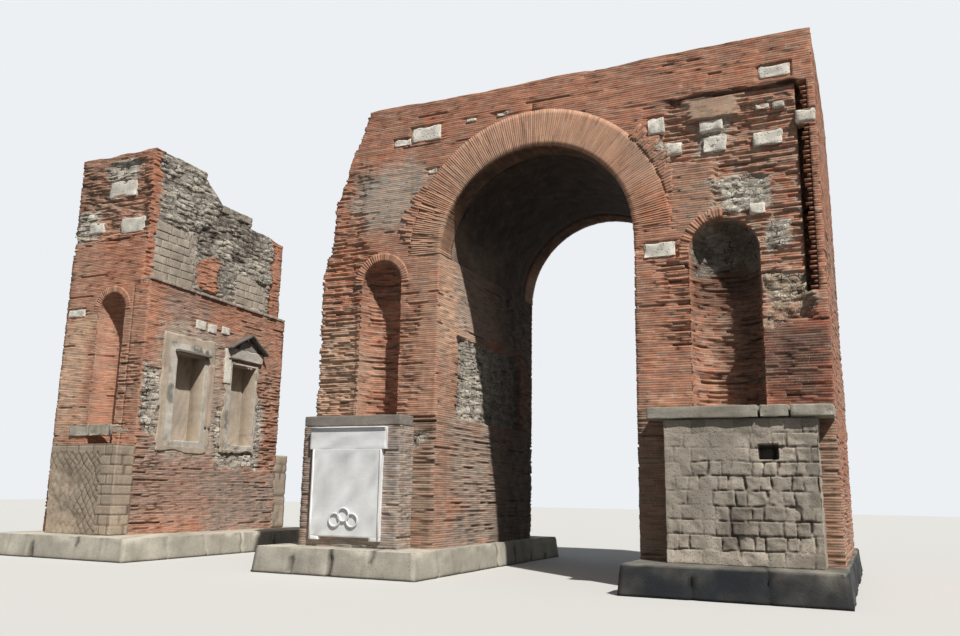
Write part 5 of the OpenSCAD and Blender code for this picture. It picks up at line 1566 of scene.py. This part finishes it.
class ARCH_OT_left_pier(PieceMaker, bpy.types.Operator):
    """The left pier: brickwork with its niche, the lining of the lost passage with two shrine recesses,
    its ledge, and over that the torn core of the lost vault."""

    bl_idname = "ruined_arch.left_pier"
    bl_label = "Left pier"

    def execute(self, context):
        self.lower_part()
        self.upper_part()
        self.single_blocks()
        self.ledge()
        return {"FINISHED"}

    def lower_part(self):
        """The pier with its niche, and the lining, whose net closes up at the shrines' edges."""
        seam = LINING - SHRINE_DEEP - 0.07
        rows = course_rows(PLINTH, BREAK)
        front, rear = face(rows, [LEFT, seam], 0.075, LEFT_NICHE), face(rows, [LEFT, seam], 0.3, LEFT_NICHE)
        skin("left_lower_brickwork", prism(
            rows, front, mirrored(rear), 1, 14, [front_look, still_look, rear_look, flank_look]),
            ["left_lower_pier"], red_brick())
        closed = [[z - 0.002, z + 0.002] for z in (SHRINE_SILL, SHRINE_SILL + SHRINE_H)]
        rows = np.sort(np.concatenate([course_rows(PLINTH, LINING_TOP), *closed]))
        front = face(rows, [np.where(rows > BREAK, LEFT_IN, seam), LINING], 0.07)
        t = columns(rows[:1], 0, DEPTH, 0.085, [v for y in SHRINE_Y for v in (y, y + SHRINE_W)])[0] / DEPTH
        skin("left_lining_brickwork", prism(
            rows, front, mirrored(front), t, 1, [front_look, lining_look, rear_look, still_look],
            lambda x, y: LINING_TOP - LEDGE_FALL * y / DEPTH), ["passage_lining"], red_brick())

    def upper_part(self):
        """The pier over its ledge, with the torn side and the stepped top."""
        rows = course_rows(BREAK, LEFT_TOP)
        front = face(rows, [LEFT, LEFT_IN], 0.1)
        t = columns(rows[:1], 0, DEPTH, 0.07, LEFT_STEPS[[1, 4], 0] * DEPTH)[0] / DEPTH
        skin("left_upper_masonry", prism(
            rows, front, mirrored(front), t, 1 - t[::-1], [front_look, torn_side_look, rear_look, flank_look],
            left_top, True),
            ["left_upper_pier", "left_torn_core", "left_brick_edges"], red_brick())

    def single_blocks(self):
        """Squared tufa: the patches in the torn side and the courses on the top."""
        tall, long = 0.23, 0.42
        nets = []
        for k, ((y0, z0), (y1, z1)) in enumerate(TUFA_PATCHES):
            for j, (a, b) in enumerate(block_courses(y0, y1, z0, z1, tall, long, k)):
                out = LEFT_IN + 0.016 + 0.02 * chance(j, k, 3)
                nets += chipped((LEFT_IN - 0.14, *a), (out, *b), round_by=0.014, seed=7 * j + k,
                                tone=1.1 + 0.35 * chance(j, k, 4))
        skin("left_tufa_blocks", nets, ["left_tufa_patch"], tufa_stone())
        nets = []
        for k, (a, b) in enumerate(islands("left_top_courses")):
            nets += chipped(a, b, rough=0.01, seed=k, tone=0.9 + 0.3 * chance(k, 4))
        skin("left_top_blocks", nets, ["left_top_courses"], tufa_stone())

    def ledge(self):
        """Bricks of random length along the ledge, which falls evenly to the rear."""
        def fall(p):
            """Lowers each point by its share of the depth."""
            p = p.copy()
            p[..., 2] -= LEDGE_FALL * p[..., 1] / DEPTH
            return p

        a, b = corners("lining_ledge")
        thick, joint, least = 0.09, 0.006, 0.12
        ends = np.cumsum(0.22 + 0.2 * chance(np.arange(40), 11))
        ends = np.append(ends[ends < DEPTH - least], DEPTH)
        nets = []
        for k, (start, end) in enumerate(zip(np.append(0.0, ends), ends)):
            out = b[0] - 0.05 * chance(k, 13) ** 2
            nets += chipped((a[0], start, LEDGE - thick), (out, end - joint, LEDGE), cells=4,
                            round_by=0.015, seed=k, tone=tint("grey"), lean=fall)
        skin("ledge_bricks", nets, ["lining_ledge"], grey_brick())


def shrine_frame(window, outline, out, seed, broken):
    """The plaster round a recess: a section carried round the window, from the back of the reveal to the
    face, out to a ragged edge, and back behind the wall. Rows are the section, columns go round. Its head
    and its left band are stained dark."""
    lines, sides = [], range(5)
    for (y0, z0), (y1, z1) in (window, outline):
        ring = np.array([(y0, z0), (y1, z0), (y1, z1), (y0, z1), (y0, z0)])
        t = np.linspace(0, 4, 241)
        lines.append(np.stack([np.interp(t, sides, ring[:, k]) for k in (0, 1)], axis=-1))
    inner, outer = lines
    share = np.concatenate([[0, 0, 0], np.linspace(0.02, 1, 16), [1, 0.06, 0.06, 0]])[:, None, None]
    x = np.concatenate([[-SHRINE_DEEP, -0.2, 0.5 * out], np.linspace(out, 0.4 * out, 15),
                        [0.2 * out, -0.03, -0.06, -0.5, -SHRINE_DEEP]])
    line = inner + (outer - inner) * share
    y, z = line[..., 0], line[..., 1]
    pull = (0.07 + 0.1 * broken) * np.clip(0.6 + waves(y, z, 0.45, seed, 5), 0, 1.8)
    inward = (inner - outer) / np.linalg.norm(inner - outer, axis=-1, keepdims=True)
    line = line + inward * (pull * np.clip(share[..., 0] * 1.6 - 0.6, 0, 1))[..., None]
    y, z = line[..., 0], line[..., 1]
    wear = waves(y, z, 0.16, seed + 1)
    stands = x[:, None] - (0.005 + 0.004 * wear + 0.02 * broken * ramp(wear, 0, 1)) * (x[:, None] > 0.02)
    points = np.stack([LINING + stands, y, z], axis=-1)
    patch = ramp(waves(y, z, 0.26, seed + 2, 4), -0.35, 0.45)
    start, head = window[0][0], window[1][1]
    stained = np.maximum(ramp(z, head - 0.4, head + 0.15), 0.75 * ramp(start - y, -0.02, 0.12))
    shade = 1.16 - 0.84 * patch * (0.2 + 0.8 * stained)
    reveal, warm = 0.8 * (x[:, None] < 0.02) + 0 * patch, np.array([0.98, 0.86, 0.74])
    tone = blend(even(patch) * shade[..., None], warm, reveal)
    return [turned((points, points[..., 1:], tone, marks_of(0.25 * ramp(wear, 0.3, 1), 0, 0, 0)))]


class ARCH_OT_shrines(PieceMaker, bpy.types.Operator):
    """The two plaster shrines on the left pier's passage side, with a small gable over the second."""

    bl_idname = "ruined_arch.shrines"
    bl_label = "Shrines"

    def execute(self, context):
        for name, start, broken in zip(("first_shrine_frame", "second_shrine_frame"), SHRINE_Y, (0.0, 0.8)):
            self.shrine(name, start, broken)
        nets = []
        for k, (y0, z0, y1, z1) in enumerate(SHRINE_STONES):
            out = LINING + (0.03 if k else 0.062)
            nets += chipped((LINING - 0.1, y0, z0), (out, y1, z1), cells=8, round_by=0.03, rough=0.018,
                            seed=k, tone=0.95)
        skin("shrine_stones", nets, ["second_shrine_frame"], white_stone())
        skin("shrine_gable", self.gable(), ["shrine_pediment"], lime_plaster())
        return {"FINISHED"}

    def shrine(self, name, start, broken):
        """One frame with the back of its recess. The whole one has a dark lintel and two upright strips."""
        head, back, end = SHRINE_SILL + SHRINE_H, LINING - SHRINE_DEEP, start + SHRINE_W
        a, b = corners(name)
        inset, lap, over, lintel = 0.004, 0.02, 0.12, 0.09
        window = ((start + inset, SHRINE_SILL + inset), (end - inset, head - inset))
        nets = shrine_frame(window, ((a[1], a[2]), (b[1], b[2])), 0.03, 7 + int(broken * 10), broken)
        nets += chipped((back - lap, start - lap, SHRINE_SILL - lap), (back + 0.03, end + lap, head + lap),
                        cells=12, round_by=0.01, rough=0.012, seed=3, tone=np.array([1.05, 0.98, 0.9]))
        if not broken:
            nets += chipped((LINING + lap, start - over, head), (b[0], end + over, head + lintel), cells=10,
                            rough=0.012, seed=9, tone=0.45)
            strip, foot, top, tone = 0.09, 3.45, 5.3, np.array([1.08, 0.94, 0.86])
            for y in (end + 0.14, end + 0.3):
                nets += chipped((LINING, y, foot), (LINING + 0.058, y + strip, top), cells=8,
                                round_by=0.012, rough=0.006, seed=4, tone=tone)
        skin(name + "_plaster", nets, [name], lime_plaster())

    def gable(self):
        """Two leaning slabs, the broken plaster under them and the dark field between."""
        def lean(p):
            """Lowers each point by its share of the way from the ridge to the eaves."""
            p = p.copy()
            run = np.where(p[..., 1] < middle, middle - a[1], b[1] - middle)
            p[..., 2] -= rise * np.abs(p[..., 1] - middle) / run
            return p

        a, b = corners("shrine_pediment")
        middle, rise, wall_x, slab = (a[1] + b[1]) / 2 + 0.06, 0.52, LINING - 0.03, 0.1
        eaves = b[2] - rise
        slope = dict(cells=9, round_by=0.03, rough=0.02, tone=0.42, soot=0.3, lean=lean)
        nets = chipped((wall_x, a[1], b[2] - slab), (b[0], middle, b[2]), seed=1, **slope)
        nets += chipped((wall_x, middle, b[2] - slab), (b[0], b[1], b[2]), seed=2, **slope)
        nets += chipped((wall_x, a[1] + 0.09, eaves - 0.36), (LINING + 0.11, b[1] - 0.09, eaves), cells=12,
                        round_by=0.05, rough=0.035, seed=3, tone=1.12)
        nets += chipped((wall_x, middle - 0.42, eaves - 0.03), (LINING + 0.08, middle + 0.42, b[2] - 0.24),
                        cells=8, round_by=0.03, rough=0.02, seed=4, tone=0.7, soot=0.2)
        return nets


# The stage: the sun's direction, and the camera as it was solved from the arch's own edges, in metres from
# the archway's axis and in degrees

FLOOR_HALF = 90
SUN_STRENGTH, SUN_FROM = 4.6, (0.50, -0.40, 0.77)
CAMERA_PLACE = (6.487, -16.737, 1.744)
CAMERA_YAW, CAMERA_PITCH, CAMERA_ROLL = 24.688, 11.556, 0.936
CAMERA_LENS, CAMERA_SENSOR = 32.085, 36.0


class ARCH_OT_stage(PieceMaker, bpy.types.Operator):
    """Floor, sky, sun and the camera at the photograph's place."""

    bl_idname = "ruined_arch.stage"
    bl_label = "Stage"

    def execute(self, context):
        scene = context.scene
        scene.view_settings.view_transform = "Standard"
        self.floor(scene)
        self.sky(scene)
        self.sun(scene)
        self.camera(scene)
        return {"FINISHED"}

    def floor(self, scene):
        """A square floor that looks pale to the camera and throws little light back."""
        half = FLOOR_HALF
        mesh = bpy.data.meshes.new("floor")
        mesh.from_pydata([(-half, -half, 0), (half, -half, 0), (half, half, 0), (-half, half, 0)], [],
                         [(0, 1, 2, 3)])
        floor = bpy.data.objects.new("floor", mesh)
        scene.collection.objects.link(floor)
        material, tree, shader = empty_material("Pale floor")
        path = add(tree, "LightPath").outputs
        shown = maths(tree, "MAXIMUM", path["Is Camera Ray"], path["Is Glossy Ray"])
        tree.links.new(mixed(tree, shown, (0.12, 0.115, 0.11), (0.6, 0.6, 0.59)), shader.inputs["Base Color"])
        mesh.materials.append(material)

    def sky(self, scene):
        """Weak blue light all round, behind a pale backdrop that only the camera sees."""
        world = bpy.data.worlds.new("Pale sky")
        scene.world = world
        world.use_nodes = True
        tree = world.node_tree
        tree.nodes.clear()
        path = add(tree, "LightPath").outputs
        shown = maths(tree, "MAXIMUM", path["Is Camera Ray"], maths(
            tree, "MAXIMUM", path["Is Glossy Ray"], path["Is Transmission Ray"]))
        light = add(tree, "Background", {"Color": (0.85, 0.93, 1.0), "Strength": 0.2})
        backdrop = add(tree, "Background", {"Color": (0.84, 0.87, 0.9), "Strength": 1.0})
        both = add(tree, "MixShader", {0: shown, 1: light.outputs[0], 2: backdrop.outputs[0]})
        add(tree, "OutputWorld", {"Surface": both.outputs[0]})

    def sun(self, scene):
        """A low sun from the right, a little warm."""
        sun = bpy.data.lights.new("Sun", "SUN")
        sun.energy, sun.angle, sun.color = SUN_STRENGTH, math.radians(1.0), (1.0, 0.965, 0.91)
        lamp = bpy.data.objects.new("Sun", sun)
        scene.collection.objects.link(lamp)
        lamp.rotation_euler = Vector(SUN_FROM).to_track_quat("Z", "Y").to_euler()

    def camera(self, scene):
        """The camera turned by yaw about the upright, then pitch, then roll about its own view."""
        camera = bpy.data.cameras.new("Photograph")
        camera.lens, camera.sensor_width, camera.sensor_fit = CAMERA_LENS, CAMERA_SENSOR, "HORIZONTAL"
        camera.clip_end = 300
        eye = bpy.data.objects.new("Photograph", camera)
        scene.collection.objects.link(eye)
        yaw, pitch, roll = (math.radians(a) for a in (CAMERA_YAW, CAMERA_PITCH, CAMERA_ROLL))
        ahead = Vector((-math.sin(yaw) * math.cos(pitch), math.cos(yaw) * math.cos(pitch), math.sin(pitch)))
        level = Vector((math.cos(yaw), math.sin(yaw), 0))
        upright = level.cross(ahead)
        side = math.cos(roll) * level + math.sin(roll) * upright
        above = -math.sin(roll) * level + math.cos(roll) * upright
        turn = Matrix((side, above, -ahead)).transposed().to_4x4()
        eye.matrix_world = Matrix.Translation(Vector(CAMERA_PLACE) + Vector(ORIGIN)) @ turn
        scene.camera = eye


OPERATORS = (ARCH_OT_stage, ARCH_OT_plinths, ARCH_OT_lower_piers, ARCH_OT_niche_piers, ARCH_OT_haunches,
             ARCH_OT_rings, ARCH_OT_teeth, ARCH_OT_stone_blocks, ARCH_OT_pedestals, ARCH_OT_tablet,
             ARCH_OT_left_pier, ARCH_OT_shrines)


class ARCH_PT_panel(bpy.types.Panel):
    """Lists the pieces in the order in which they are made."""

    bl_label = "Ruined arch"
    bl_idname = "ARCH_PT_panel"
    bl_space_type = "VIEW_3D"
    bl_region_type = "UI"
    bl_category = "Ruined arch"

    def draw(self, context):
        """The sizes and colours, then a button for each operator."""
        for group in (context.scene.arch_sizes, context.scene.arch_colours):
            for name in group.bl_rna.properties.keys():
                if name not in ("rna_type", "name"):
                    self.layout.prop(group, name)
        for operator in OPERATORS:
            self.layout.operator(operator.bl_idname)


CLASSES = (ArchColours, ArchSizes, *OPERATORS, ARCH_PT_panel)


def register():
    """Makes the classes known, and gives each scene its sizes and colours."""
    for cls in CLASSES:
        bpy.utils.register_class(cls)
    bpy.types.Scene.arch_colours = bpy.props.PointerProperty(type=ArchColours)
    bpy.types.Scene.arch_sizes = bpy.props.PointerProperty(type=ArchSizes)


def unregister():
    """Takes back what register did, in reverse."""
    del bpy.types.Scene.arch_sizes
    del bpy.types.Scene.arch_colours
    for cls in reversed(CLASSES):
        bpy.utils.unregister_class(cls)


def main():
    """Registers the classes and calls the operators in order."""
    register()
    for operator in OPERATORS:
        group, name = operator.bl_idname.split(".")
        getattr(getattr(bpy.ops, group), name)()


if __name__ == "__main__":
    main()
